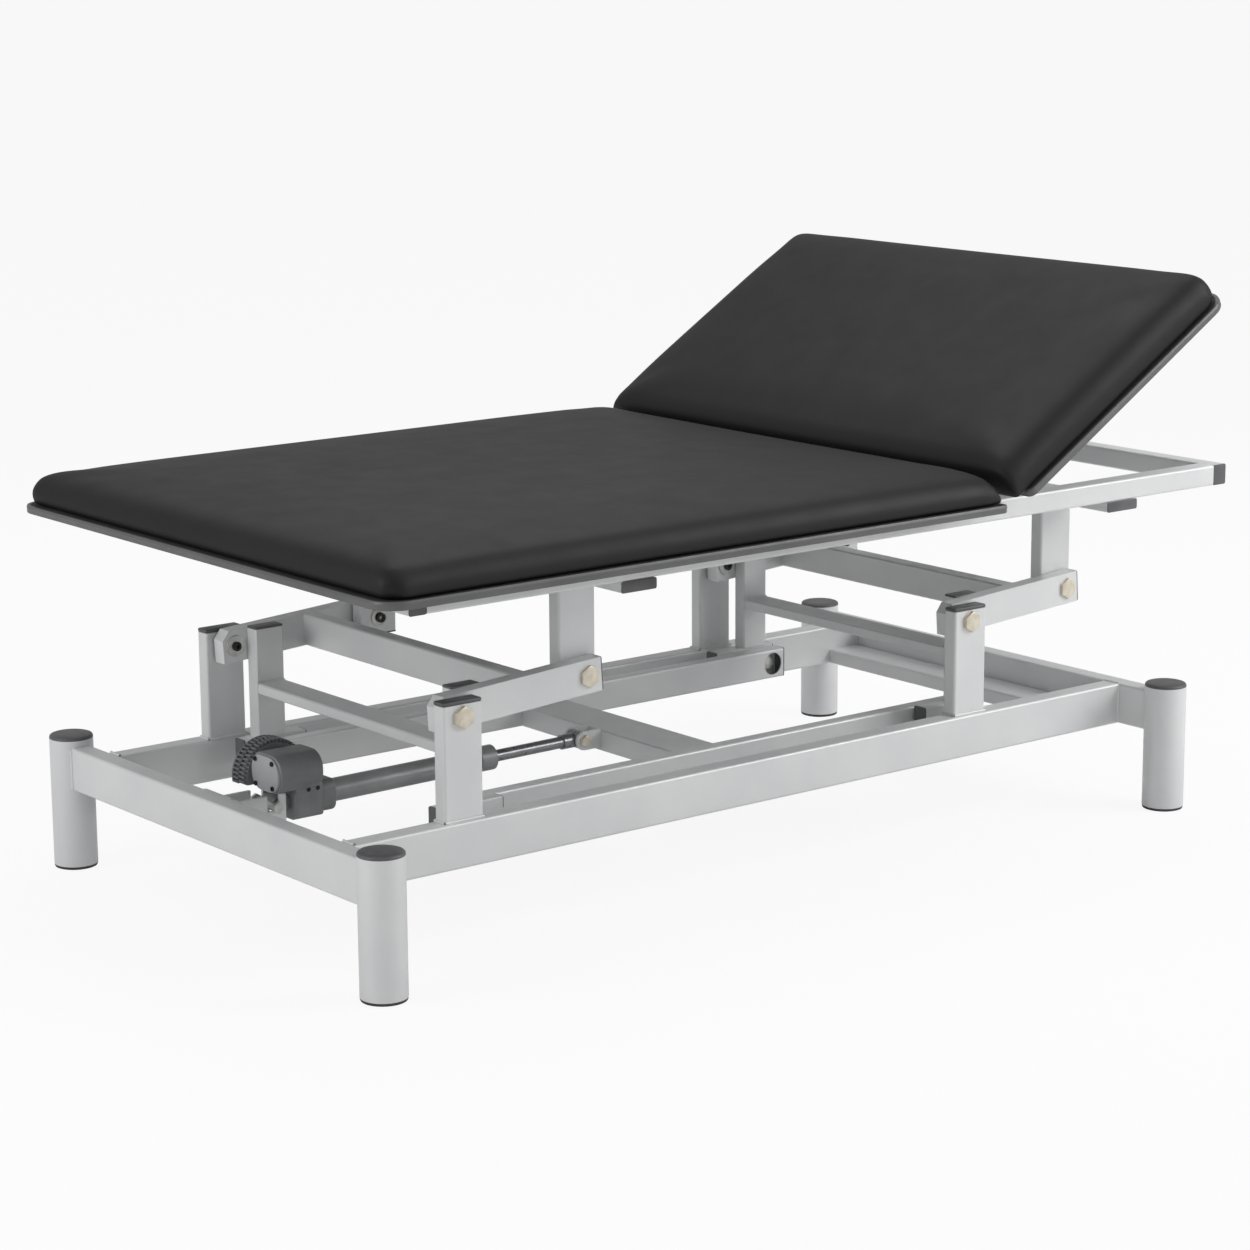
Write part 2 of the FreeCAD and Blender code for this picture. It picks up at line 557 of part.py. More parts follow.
# Hinge at each side: two knuckles with a pin on the hinge rail, one leaf between them
KNUCKLE = 28.0
BACK_Z0 = BOARD_Z0 + FACE_GAP
seats = []
leaves = []
for s in (-1, 1):
    pieces = []
    for c in (250.0 * s - KNUCKLE - 0.3, 250.0 * s + KNUCKLE + 0.3):
        y0 = c - KNUCKLE / 2
        pieces.append(box(MAIN_X1, HINGE_X, y0, y0 + KNUCKLE, HINGE_Z - 20, HINGE_Z - 4))
        pieces.append(prism(HINGE_R, y0, y0 + KNUCKLE, HINGE_X, HINGE_Z))
    span = 1.5 * KNUCKLE + 2
    pieces.append(prism(PIVOT_PIN_R, 250.0 * s - span, 250.0 * s + span, HINGE_X, HINGE_Z, 16))
    seats.append(join(pieces))
    y0 = 250.0 * s - KNUCKLE / 2
    leaf = prism(HINGE_R - 0.5, y0, y0 + KNUCKLE, HINGE_X, HINGE_Z)
    leaf = leaf.fuse(box(HINGE_X, BACK_X0 + 90, y0, y0 + KNUCKLE, BACK_Z0 - 6, BACK_Z0))
    bore = cyl("y", PIVOT_PIN_R + FIT, y0 - 1, y0 + KNUCKLE + 1, HINGE_X, HINGE_Z)
    leaves.append(leaf.cut(bore))
parts["hinge_knuckles"] = Part.makeCompound(seats)


def plan(x0, x1, y1, r0, r1):
    """Outline of the lying surface with round corners at both ends."""
    k = 1 - math.sqrt(0.5)
    e = []

    def arc(cx, cy, r, a0):
        p = []
        for j in range(3):
            a = math.radians(a0 + 45 * j)
            p.append(V(cx + r * math.cos(a), cy + r * math.sin(a), 0))
        e.append(Part.Arc(p[0], p[1], p[2]).toShape())
        return p[0], p[2]

    a = arc(x1 - r1, -y1 + r1, r1, 270)
    b = arc(x1 - r1, y1 - r1, r1, 0)
    c = arc(x0 + r0, y1 - r0, r0, 90)
    d = arc(x0 + r0, -y1 + r0, r0, 180)
    for p, q in ((a[1], b[0]), (b[1], c[0]), (c[1], d[0]), (d[1], a[0])):
        e.append(Part.LineSegment(p, q).toShape())
    return Part.Wire(Part.__sortEdges__(e))


def slab(x0, x1, y1, r0, r1, z0, z1):
    out = Part.Face(plan(x0, x1, y1, r0, r1)).extrude(V(0, 0, z1 - z0))
    out.translate(V(0, 0, z0))
    return out


def ring(x0, x1, y1, r0, r1, z):
    """Points round the lying surface at one height, four short runs to a corner."""
    corners = ((x1 - r1, -y1 + r1, r1, 270), (x1 - r1, y1 - r1, r1, 0),
               (x0 + r0, y1 - r0, r0, 90), (x0 + r0, -y1 + r0, r0, 180))
    pts = []
    for cx, cy, r, a0 in corners:
        for j in range(5):
            a = math.radians(a0 + 22.5 * j)
            pts.append(V(cx + r * math.cos(a), cy + r * math.sin(a), z))
    return pts


def flat_face(pts):
    return Part.Face(Part.makePolygon(pts + pts[:1]))


def cushion(x0, x1, r0, r1, cut_x0, cut_x1, lean):
    """Pad whose upper edge rolls over; its hinge end is a slope through the hinge axis."""
    rings = []
    for inset, rise in PAD_STEPS:
        rings.append(ring(x0 + inset, x1 - inset, BOARD_Y - PAD_IN - inset,
                          max(r0 - inset, 2.0), max(r1 - inset, 2.0), BOARD_Z1 + rise))
    faces = [flat_face(rings[0]), flat_face(rings[-1])]
    for low, high in zip(rings, rings[1:]):
        for k in range(len(low)):
            n = (k + 1) % len(low)
            faces.append(flat_face([low[k], low[n], high[n], high[k]]))
    pad = Part.Solid(Part.Shell(faces))
    if pad.Volume < 0:
        pad.reverse()
    wedge = box(cut_x0, cut_x1, -BOARD_Y - 50, BOARD_Y + 50, HINGE_Z - 200, HINGE_Z + 400)
    return pad.cut(turned(wedge, HINGE_X, HINGE_Z, lean))


# Main section: board with edge trim, and the upholstered pad
BOARD_Z1 = BOARD_Z0 + BOARD_T
SOFT = MAIN_CORNER - PAD_IN
HINGE_SOFT = SMALL_CORNER + PAD_IN
parts["main_board"] = slab(MAIN_X0, MAIN_X1, BOARD_Y, MAIN_CORNER, SMALL_CORNER,
                           BOARD_Z0, BOARD_Z1)
parts["main_pad"] = cushion(MAIN_X0 + PAD_IN, HINGE_X - 4, SOFT, HINGE_SOFT,
                            HINGE_X - 0.5, HINGE_X + 400, PAD_LEAN)

# Backrest, drawn flat and then raised about its hinge
back = slab(BACK_X0, BACK_X1, BOARD_Y, SMALL_CORNER, MAIN_CORNER, BACK_Z0, BOARD_Z1)
parts["back_board"] = turned(back, HINGE_X, HINGE_Z, BACK_REST)
back = cushion(HINGE_X + 4, BACK_X1 - PAD_IN, HINGE_SOFT, SOFT, HINGE_X - 400, HINGE_X + 0.5,
               -PAD_LEAN)
parts["back_pad"] = turned(back, HINGE_X, HINGE_Z, BACK_REST)
bx, bz = GAS_B
ears = [box(bx - 25, bx + 25, -24, 24, BACK_Z0 - 3, BACK_Z0)]
for s in (-1, 1):
    y0, y1 = side(9.0, 14.0, s)
    ear = box(bx - 10, bx + 10, y0, y1, bz, BOARD_Z0 - 2)
    ears.append(ear.fuse(prism(10.0, y0, y1, bx, bz)))
ears.append(prism(PIVOT_PIN_R, -16, 16, bx, bz, 12))
leaves.append(join(ears))
parts["back_fittings"] = turned(Part.makeCompound(leaves), HINGE_X, HINGE_Z, BACK_REST)

# Gas spring: cylinder on the head cross tube, rod on the backrest bracket
t = math.radians(BACK_REST)
BX = HINGE_X + (bx - HINGE_X) * math.cos(t) - (bz - HINGE_Z) * math.sin(t)
BZ = HINGE_Z + (bx - HINGE_X) * math.sin(t) + (bz - HINGE_Z) * math.cos(t)
GAS_L = math.hypot(BX - ax, BZ - az)
TILT = math.degrees(math.atan2(BZ - az, BX - ax)) - 180.0
barrel = cyl("x", GAS_R, ax - 205, ax - 14, 0, az)
barrel = barrel.cut(bar("x", ax - 206, ax - 20, -GAS_BORE, GAS_BORE, az - GAS_BORE,
                        az + GAS_BORE, 0))
barrel = barrel.fuse(prism(9.0, -GAS_R - 1, GAS_R + 1, ax, az))
barrel = barrel.fuse(box(ax - 18, ax, -8, 8, az - 7, az + 7))
barrel = barrel.cut(cyl("y", 5.0 + FIT, -GAS_R - 2, GAS_R + 2, ax, az))
parts["strut_cylinder"] = turned(barrel, ax, az, TILT)
gx = ax - GAS_L
piston = cyl("x", GAS_ROD_R, gx + 6, ax - 150, 0, az)
piston = piston.fuse(prism(9.0, -8.5, 8.5, gx, az))
piston = piston.cut(cyl("y", 5.0 + FIT, -9, 9, gx, az))
parts["strut_rod"] = turned(piston, ax, az, TILT)

os.makedirs("parts", exist_ok=True)
for name, shape in parts.items():
    shape = shape.removeSplitter()
    shape.translate(V(-CX, 0, 0))
    shape.exportStep("parts/" + name + ".step")
box_all = Part.makeCompound(list(parts.values())).BoundBox
print(len(parts), "nodes", round(box_all.XLength, 1), round(box_all.YLength, 1),
      round(box_all.ZLength, 1))
print("up", FOOT_UP, HEAD_UP, "lean", round(LEAN, 3), "tilt", round(TILT, 3), "gas", BX, BZ, GAS_L)
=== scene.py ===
import math

import bmesh
import bpy
from mathutils import Matrix, Vector


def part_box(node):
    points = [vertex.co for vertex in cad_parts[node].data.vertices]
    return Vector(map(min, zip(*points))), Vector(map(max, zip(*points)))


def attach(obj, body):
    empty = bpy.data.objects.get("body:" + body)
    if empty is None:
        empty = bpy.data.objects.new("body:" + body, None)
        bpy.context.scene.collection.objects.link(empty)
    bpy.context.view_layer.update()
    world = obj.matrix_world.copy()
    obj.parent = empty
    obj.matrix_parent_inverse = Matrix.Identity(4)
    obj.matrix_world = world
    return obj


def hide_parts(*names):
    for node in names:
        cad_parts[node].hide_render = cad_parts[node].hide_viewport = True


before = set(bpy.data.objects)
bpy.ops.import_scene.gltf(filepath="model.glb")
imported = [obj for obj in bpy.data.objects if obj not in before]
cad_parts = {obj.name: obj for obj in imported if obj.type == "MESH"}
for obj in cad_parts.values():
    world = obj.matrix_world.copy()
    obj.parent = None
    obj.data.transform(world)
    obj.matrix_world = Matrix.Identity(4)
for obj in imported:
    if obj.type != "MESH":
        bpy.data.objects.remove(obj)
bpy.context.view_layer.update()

# Base frame. Four round steel legs, two end rails and two side rails of rectangular
# tube, and a flat stiffener at the head end, welded together and powder coated in
# a pale silver grey with a faint orange-peel surface.
LEG_NODES = ["leg_foot_near", "leg_foot_far", "leg_head_near", "leg_head_far"]
BASE_RAILS = ["end_rail_foot", "end_rail_head", "side_rail_near", "side_rail_far"]


def tone(red, green, blue):
    """Screen values of 0 to 255 as the linear colour that a shader wants."""
    return tuple((c / 255.0) ** 2.2 for c in (red, green, blue)) + (1.0,)


def start_finish(name):
    """A new material with its tree, its shader and Object coordinates."""
    finish = bpy.data.materials.new(name)
    finish.use_nodes = True
    tree = finish.node_tree
    place = tree.nodes.new("ShaderNodeTexCoord").outputs["Object"]
    return finish, tree, tree.nodes["Principled BSDF"], place


def speckle(tree, place, scale, detail=2.0):
    """Fine noise of a given number of cells to the metre."""
    noise = tree.nodes.new("ShaderNodeTexNoise")
    noise.inputs["Scale"].default_value = scale
    noise.inputs["Detail"].default_value = detail
    tree.links.new(place, noise.inputs["Vector"])
    return noise.outputs["Fac"]


def between(tree, value, low, high):
    """Two colours, mixed by a noise around its middle value."""
    ramp = tree.nodes.new("ShaderNodeValToRGB")
    ramp.color_ramp.elements[0].position = 0.34
    ramp.color_ramp.elements[0].color = low
    ramp.color_ramp.elements[1].position = 0.66
    ramp.color_ramp.elements[1].color = high
    tree.links.new(value, ramp.inputs["Fac"])
    return ramp.outputs["Color"]


def ranged(tree, value, low, high):
    """A noise stretched to the range that roughness needs."""
    node = tree.nodes.new("ShaderNodeMapRange")
    node.inputs["From Min"].default_value = 0.3
    node.inputs["From Max"].default_value = 0.7
    node.inputs["To Min"].default_value = low
    node.inputs["To Max"].default_value = high
    tree.links.new(value, node.inputs["Value"])
    return node.outputs["Result"]


def raised(tree, shader, height, strength, distance):
    """Relief on the shader's normal."""
    bump = tree.nodes.new("ShaderNodeBump")
    bump.inputs["Strength"].default_value = strength
    bump.inputs["Distance"].default_value = distance
    tree.links.new(height, bump.inputs["Height"])
    tree.links.new(bump.outputs["Normal"], shader.inputs["Normal"])


def surface(name, dark, light, rough, relief, metal=0.0, patch=9.0):
    """A finish with soft colour change, uneven gloss and a fine relief."""
    finish, tree, shader, place = start_finish(name)
    colour = between(tree, speckle(tree, place, patch, 4.0), tone(*dark), tone(*light))
    tree.links.new(colour, shader.inputs["Base Color"])
    gloss = ranged(tree, speckle(tree, place, 45.0), rough[0], rough[1])
    tree.links.new(gloss, shader.inputs["Roughness"])
    shader.inputs["Metallic"].default_value = metal
    scale, strength, distance = relief
    raised(tree, shader, speckle(tree, place, scale), strength, distance)
    return finish, tree, shader, place


silver_coat = surface("silver_powder_coat", (219, 220, 221), (227, 228, 228),
                      (0.36, 0.48), (420.0, 0.25, 0.0004), metal=0.2, patch=5.0)[0]


def dress(nodes, finish):
    """A finish on every slot of the CAD pieces that stay as they are."""
    for node in nodes:
        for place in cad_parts[node].material_slots:
            place.material = finish


dress(LEG_NODES + BASE_RAILS + ["head_stiffener"], silver_coat)

# Weld beads. Each joint of the base is closed with a small rippled fillet that
# the powder coat has run over, so it reads as a soft line.
POST_NODES = ["post_foot_near", "post_foot_far", "post_head_near", "post_head_far"]


def keep(shape, name, body, finish, sharp=35.0):
    """The finished mesh as a piece that rides on a body, smooth up to an angle."""
    for face in shape.faces:
        face.smooth = True
    for edge in shape.edges:
        if edge.is_manifold and edge.calc_face_angle(0.0) > math.radians(sharp):
            edge.smooth = False
    mesh = bpy.data.meshes.new(name)
    shape.to_mesh(mesh)
    shape.free()
    made = bpy.data.objects.new(name, mesh)
    bpy.context.scene.collection.objects.link(made)
    mesh.materials.append(finish)
    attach(made, body)
    return made


def bead(shape, start, end, radius=0.0028):
    """One straight run of weld between two points, with a slight ripple."""
    start, end = Vector(start), Vector(end)
    length = (end - start).length
    cuts = max(2, int(length / 0.004))
    ring = bmesh.ops.create_circle(shape, segments=8, radius=radius)["verts"]
    turn = (end - start).to_track_quat("Z", "Y").to_matrix().to_4x4()
    bmesh.ops.transform(shape, matrix=Matrix.Translation(start) @ turn, verts=ring)
    edges = list({e for v in ring for e in v.link_edges})
    step = (end - start) / cuts
    for k in range(cuts):
        out = bmesh.ops.extrude_edge_only(shape, edges=edges)["geom"]
        ring = [g for g in out if isinstance(g, bmesh.types.BMVert)]
        edges = [g for g in out if isinstance(g, bmesh.types.BMEdge)]
        bmesh.ops.translate(shape, vec=step, verts=ring)
        centre = start + step * (k + 1)
        grow = (1.16, 0.9)[k % 2]
        for v in ring:
            v.co = centre + (v.co - start - step * (k + 1)).normalized() * radius * grow


def foot_beads(shape, node, z):
    """Weld all round the end of an upright tube."""
    low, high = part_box(node)
    corners = [(low.x, low.y), (high.x, low.y), (high.x, high.y), (low.x, high.y)]
    for k in range(4):
        a, b = corners[k], corners[(k + 1) % 4]
        bead(shape, (a[0], a[1], z), (b[0], b[1], z))


welds = bmesh.new()
for node in POST_NODES:
    foot_beads(welds, node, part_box(node)[0].z + 0.001)
for node in ("side_rail_near", "side_rail_far"):
    low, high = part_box(node)
    for x in (low.x + 0.001, high.x - 0.001):
        for y in (low.y, high.y):
            bead(welds, (x, y, low.z + 0.004), (x, y, high.z - 0.004))
        bead(welds, (x, low.y + 0.004, high.z), (x, high.y - 0.004, high.z))
for node in LEG_NODES:
    low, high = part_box(node)
    centre = (low + high) / 2
    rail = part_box("end_rail_foot")
    inward = -1.0 if centre.y > 0 else 1.0
    for side in (-0.02, 0.02):
        y = centre.y + inward * 0.0352
        bead(welds, (centre.x + side, y, rail[0].z + 0.003),
             (centre.x + side, y, rail[1].z - 0.003))
bmesh.ops.recalc_face_normals(welds, faces=welds.faces)
keep(welds, "base_welds", "base", silver_coat, 60.0)

# Feet and leg plugs. A turned rubber foot is pressed into each leg, and the top of
# the leg is closed with a dark plastic plug that has a rounded rim.
rubber = surface("foot_rubber", (62, 62, 63), (74, 74, 75), (0.62, 0.78),
                 (900.0, 0.3, 0.0003))[0]
dark_plastic = surface("dark_plastic", (88, 88, 90), (98, 98, 100), (0.38, 0.52),
                       (1300.0, 0.18, 0.0002), patch=20.0)[0]


def turned_piece(shape, profile, centre, steps=48):
    """A round piece from its half profile of (radius, height) about a vertical line."""
    points = [shape.verts.new((r, 0.0, z)) for r, z in profile]
    edges = [shape.edges.new(pair) for pair in zip(points, points[1:])]
    made = bmesh.ops.spin(shape, geom=points + edges, cent=(0, 0, 0), axis=(0, 0, 1),
                          angle=math.tau, steps=steps, use_merge=True)
    verts = list({v for v in shape.verts if not v.tag})
    bmesh.ops.remove_doubles(shape, verts=verts, dist=1e-6)
    verts = [v for v in shape.verts if not v.tag]
    bmesh.ops.translate(shape, vec=centre, verts=verts)
    for v in verts:
        v.tag = True


feet = bmesh.new()
leg_plugs = bmesh.new()
for node in LEG_NODES:
    low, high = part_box(node)
    centre = Vector(((low.x + high.x) / 2, (low.y + high.y) / 2, 0.0))
    turned_piece(feet, [(0.0, 0.0), (0.036, 0.0), (0.0385, 0.0008), (0.0395, 0.003),
                        (0.0395, 0.0062), (0.037, 0.0062), (0.0, 0.0062)], centre)
    turned_piece(leg_plugs, [(0.0, 0.0076), (0.026, 0.0074), (0.0345, 0.0068), (0.0375, 0.0058),
                             (0.0392, 0.0042), (0.0399, 0.0022), (0.04, 0.0), (0.0, 0.0)],
                 centre + Vector((0, 0, high.z)))
for shape in (feet, leg_plugs):
    bmesh.ops.recalc_face_normals(shape, faces=shape.faces)
made = keep(feet, "rubber_feet", "base", rubber)
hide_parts("leg_feet")
keep(leg_plugs, "leg_plugs", "base", dark_plastic)

# Posts. Flat rectangular tubes stand on the side rails, bored near the top for the
# lift arms, each closed with a moulded plug.
dress(POST_NODES, silver_coat)


def plug(shape, low, high, rim=0.0016, corner=0.0035):
    """A moulded plug: a block with round upright corners and soft edges all round."""
    low, high = Vector(low), Vector(high)
    size = high - low
    made = bmesh.ops.create_cube(shape, size=1.0,
                                 matrix=Matrix.Translation((low + high) / 2)
                                 @ Matrix.Diagonal((*size, 1.0)))["verts"]
    thin = min(range(3), key=lambda k: size[k])
    edges = {e for v in made for e in v.link_edges}
    upright = [e for e in edges
               if abs((e.verts[0].co - e.verts[1].co)[thin]) > 0.5 * size[thin]]
    out = bmesh.ops.bevel(shape, geom=upright, offset=corner, offset_type="OFFSET",
                          segments=3, profile=0.5, affect="EDGES", material=-1)
    flat = [e for v in {v for f in out["faces"] for v in f.verts} for e in v.link_edges]
    rims = [e for e in set(flat) | {e for e in edges if e.is_valid}
            if e.is_manifold and e.calc_face_angle(0.0) > math.radians(60)]
    bmesh.ops.bevel(shape, geom=rims, offset=min(rim, size[thin] * 0.4),
                    offset_type="OFFSET", segments=2, profile=0.5, affect="EDGES",
                    material=-1)


post_plugs = bmesh.new()
for node in POST_NODES:
    low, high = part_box(node)
    plug(post_plugs, (low.x, low.y, high.z), (high.x, high.y, high.z + 0.007), rim=0.0026)
made = keep(post_plugs, "post_plugs", "base", dark_plastic)
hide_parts("base_plugs")

# Lower pivot bolts. A zinc-plated hexagon bolt passes each post from outside, with a
# collar in the gap, and a washer and socket screw close it inside the arm.
zinc = surface("zinc_plate", (196, 196, 194), (220, 219, 214), (0.28, 0.4),
               (700.0, 0.12, 0.0002), metal=0.55, patch=60.0)[0]
yellow_zinc = surface("yellow_zinc_plate", (212, 202, 180), (230, 222, 206),
                      (0.3, 0.44), (700.0, 0.12, 0.0002), metal=0.45, patch=80.0)[0]
black_screw = surface("blackened_screw", (30, 30, 31), (44, 44, 45), (0.32, 0.46),
                      (800.0, 0.1, 0.0002), metal=0.4, patch=60.0)[0]


def along_y(shape, verts, x, y, z, outward):
    """Turns a piece made on the Z axis to point along Y and puts it in place."""
    turn = Matrix.Rotation(math.radians(-90.0 * outward), 4, "X")
    bmesh.ops.transform(shape, matrix=Matrix.Translation((x, y, z)) @ turn, verts=verts)


def disc(shape, radius, thick, sides, edge, x, y, z, outward):
    """A washer, collar or bolt head that stands out along Y from y, softly edged."""
    made = bmesh.ops.create_cone(shape, cap_ends=True, cap_tris=False, segments=sides,
                                 radius1=radius, radius2=radius, depth=thick,
                                 matrix=Matrix.Translation((0, 0, thick / 2)))["verts"]
    rims = [e for e in {e for v in made for e in v.link_edges}
            if abs(e.verts[0].co.z - e.verts[1].co.z) < 1e-7]
    if sides < 12:
        rims = [e for e in rims if e.verts[0].co.z > thick / 2]
    old = set(shape.verts) - set(made)
    bmesh.ops.bevel(shape, geom=rims, offset=edge, offset_type="OFFSET", segments=2,
                    profile=0.5, affect="EDGES", material=-1)
    made = [v for v in shape.verts if v not in old]
    along_y(shape, made, x, y, z, outward)


def socket_screw(shape, radius, thick, x, y, z, outward):
    """A cap screw head with its hexagon socket."""
    old = set(shape.verts)
    made = bmesh.ops.create_cone(shape, cap_ends=True, cap_tris=False, segments=24,
                                 radius1=radius, radius2=radius, depth=thick,
                                 matrix=Matrix.Translation((0, 0, thick / 2)))["verts"]
    top = [f for f in {f for v in made for f in v.link_faces}
           if f.calc_center_median().z > thick * 0.9]
    bmesh.ops.inset_region(shape, faces=top, thickness=radius * 0.08, depth=0.0)
    bmesh.ops.inset_region(shape, faces=top, thickness=radius * 0.36, depth=0.0)
    for v in {v for f in top for v in f.verts}:
        angle = (math.atan2(v.co.y, v.co.x) + math.radians(30)) % math.radians(60)
        reach = radius * 0.5 * math.cos(math.radians(30)) / math.cos(angle - math.radians(30))
        flat = Vector((v.co.x, v.co.y)).normalized() * reach
        v.co.x, v.co.y = flat.x, flat.y
    out = bmesh.ops.extrude_face_region(shape, geom=top)["geom"]
    floor_verts = [g for g in out if isinstance(g, bmesh.types.BMVert)]
    bmesh.ops.translate(shape, vec=(0, 0, -thick * 0.6), verts=floor_verts)
    bmesh.ops.delete(shape, geom=[f for f in top if f.is_valid], context="FACES_ONLY")
    made = [v for v in shape.verts if v not in old]
    along_y(shape, made, x, y, z, outward)


def shank(shape, radius, x, y0, y1, z):
    """The plain part of a bolt between two heights of Y."""
    disc(shape, radius, abs(y1 - y0), 24, 0.0003, x, min(y0, y1), z, 1.0)


def centre_of(node):
    low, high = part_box(node)
    return (low + high) / 2


LIFT_Z = 0.410
PIVOT_SHANK_R = 0.0079
bolts = bmesh.new()
heads = bmesh.new()
inner_screws = bmesh.new()
for node in POST_NODES:
    low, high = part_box(node)
    x = (low.x + high.x) / 2
    s = 1.0 if low.y > 0 else -1.0
    outside = 0.389
    disc(heads, 0.0190, 0.0012, 32, 0.0004, x, s * outside, LIFT_Z, s)
    disc(heads, 0.0203, 0.0066, 6, 0.0022, x, s * (outside + 0.0010), LIFT_Z, s)
    disc(bolts, 0.015, 0.0054, 32, 0.0006, x, s * 0.3534, LIFT_Z, s)
    disc(bolts, 0.0198, 0.0028, 32, 0.0006, x, s * 0.3227, LIFT_Z, -s)
    shank(bolts, PIVOT_SHANK_R, x, s * 0.320, s * (outside + 0.003), LIFT_Z)
    socket_screw(inner_screws, 0.0088, 0.005, x, s * 0.3199, LIFT_Z, -s)
made = keep(bolts, "lower_pivot_collars", "base", zinc)
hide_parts("lower_pivot_bolts")
keep(heads, "lower_pivot_heads", "base", yellow_zinc)
keep(inner_screws, "lower_pivot_screws", "base", black_screw)

# Drive bracket. Two welded ears on the foot end rail hold the rear pin of the drive
# in slots that are open at the top, so that the drive can tip as the table rises.
dress(["actuator_bracket"], silver_coat)

# Lift arms. Two pairs of flat rectangular tubes with a beveled tail, a cross tube
# between each pair, and plugs in their noses. Each arm turns on a lower pivot bolt.
ARM_NODES = {
    "foot_arm": ["foot_arm_near", "foot_arm_far", "foot_arm_cross_tube",
                 "foot_lever_near", "foot_lever_far", "foot_crossbar"],
    "head_arm": ["head_arm_near", "head_arm_far", "head_arm_cross_tube",
                 "head_lever_near", "head_lever_far", "head_crossbar"],
}
for group in ARM_NODES.values():
    dress(group, silver_coat)


def copy_of(node):
    """A clean copy of a CAD piece's mesh, with its loose triangles merged."""
    shape = bmesh.new()
    shape.from_mesh(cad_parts[node].data)
    bmesh.ops.remove_doubles(shape, verts=shape.verts, dist=2e-6)
    bmesh.ops.dissolve_limit(shape, angle_limit=math.radians(1.0), verts=shape.verts,
                             edges=shape.edges)
    return shape


def soft_edges(shape, width, rings=2, angle=55.0):
    """Rounds the sharp edges of a copied piece."""
    sharp = [e for e in shape.edges
             if e.is_manifold and e.calc_face_angle(0.0) > math.radians(angle)]
    bmesh.ops.bevel(shape, geom=sharp, offset=width, offset_type="OFFSET",
                    segments=rings, profile=0.5, affect="EDGES", material=-1,
                    clamp_overlap=True)


for body in ("foot_arm", "head_arm"):
    shape = copy_of(body + "_plugs")
    soft_edges(shape, 0.0007)
    made = keep(shape, body + "_end_plugs", body, dark_plastic)
    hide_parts(body + "_plugs")
    beads = bmesh.new()
    for node in ARM_NODES[body]:
        if "lever" in node:
            low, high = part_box(node)
            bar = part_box(body.replace("_arm", "_crossbar"))
            inner = low.y if low.y > 0 else high.y
            for x in (bar[0].x, bar[1].x):
                bead(beads, (x, inner, bar[0].z), (x, inner, bar[1].z), 0.0022)
            bead(beads, (bar[0].x, inner, bar[1].z), (bar[1].x, inner, bar[1].z), 0.0022)
    bmesh.ops.recalc_face_normals(beads, faces=beads.faces)
    keep(beads, body + "_welds", body, silver_coat, 60.0)

# Drive frame. Two long bars join the levers of both arm pairs, with a wide flat
# cross tube between them whose lug takes the push of the drive.
dress(["drive_bar_near", "drive_bar_far", "drive_cross_tube"], silver_coat)
bar_low, bar_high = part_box("drive_bar_near")
DRIVE_PIVOT_Z = 0.205
LEVER_ACROSS = 0.07
caps = bmesh.new()
joints = bmesh.new()
nuts = bmesh.new()
for s in (-1.0, 1.0):
    for x0, x1 in ((bar_high.x, bar_high.x + 0.003), (bar_low.x - 0.003, bar_low.x)):
        y0, y1 = sorted((s * 0.257, s * 0.287))
        plug(caps, (x0, y0, bar_low.z), (x1, y1, bar_high.z))
    for node in ("post_foot_near", "post_head_near"):
        x = centre_of(node).x + LEVER_ACROSS
        disc(joints, 0.015, 0.0058, 32, 0.0006, x, s * 0.287, DRIVE_PIVOT_Z, s)
        disc(joints, 0.015, 0.0027, 32, 0.0006, x, s * 0.3233, DRIVE_PIVOT_Z, s)
        disc(joints, 0.013, 0.0115, 32, 0.001, x, s * 0.284, DRIVE_PIVOT_Z, -s)
        shank(joints, PIVOT_SHANK_R, x, s * 0.272, s * 0.331, DRIVE_PIVOT_Z)
        disc(nuts, 0.012, 0.006, 6, 0.001, x, s * 0.326, DRIVE_PIVOT_Z, s)
eye_x, eye_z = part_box("drive_cross_tube")[0].x + 0.018, 0.200
DRIVE_Y = centre_of("push_rod").y
shank(joints, PIVOT_SHANK_R, eye_x, DRIVE_Y - 0.0215, DRIVE_Y + 0.0215, eye_z)
disc(nuts, 0.0118, 0.0065, 6, 0.001, eye_x, DRIVE_Y - 0.0221, eye_z, -1.0)
disc(nuts, 0.0118, 0.0058, 6, 0.001, eye_x, DRIVE_Y + 0.0221, eye_z, 1.0)
made = keep(joints, "drive_bolts", "drive_frame", zinc)
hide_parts("drive_fittings")
keep(nuts, "drive_nuts", "drive_frame", yellow_zinc)
keep(caps, "drive_bar_caps", "drive_frame", dark_plastic)

# Push rod. A steel rod with a satin phosphate finish and a forged eye, which pushes
# the cross tube. The spindle inside the drive moves it out and in.
rod_steel = surface("ground_rod", (142, 143, 145), (158, 159, 161), (0.24, 0.34),
                    (1500.0, 0.06, 0.0001), metal=0.6, patch=40.0)[0]
dress(["push_rod"], rod_steel)

# Drive tube. A grey painted steel tube round the spindle, screwed into the gear
# housing, with a collar where the rod comes out.
tube_paint = surface("drive_grey_paint", (142, 143, 144), (154, 155, 156), (0.34, 0.46),
                     (600.0, 0.16, 0.0003), metal=0.2, patch=14.0)[0]
dress(["outer_tube"], tube_paint)

# Gear housing. A cast lower block on the line of the tube, the motor in its round-
# cornered shell above it, closed by a flat screwed cover, and the rear pin.
casting = surface("gear_case", (124, 125, 126), (138, 139, 140), (0.4, 0.54),
                  (420.0, 0.4, 0.0005), metal=0.2, patch=18.0)[0]
cover_paint = surface("cover_plate", (162, 163, 165), (172, 173, 175), (0.34, 0.46),
                      (500.0, 0.16, 0.0003), metal=0.2, patch=12.0)[0]


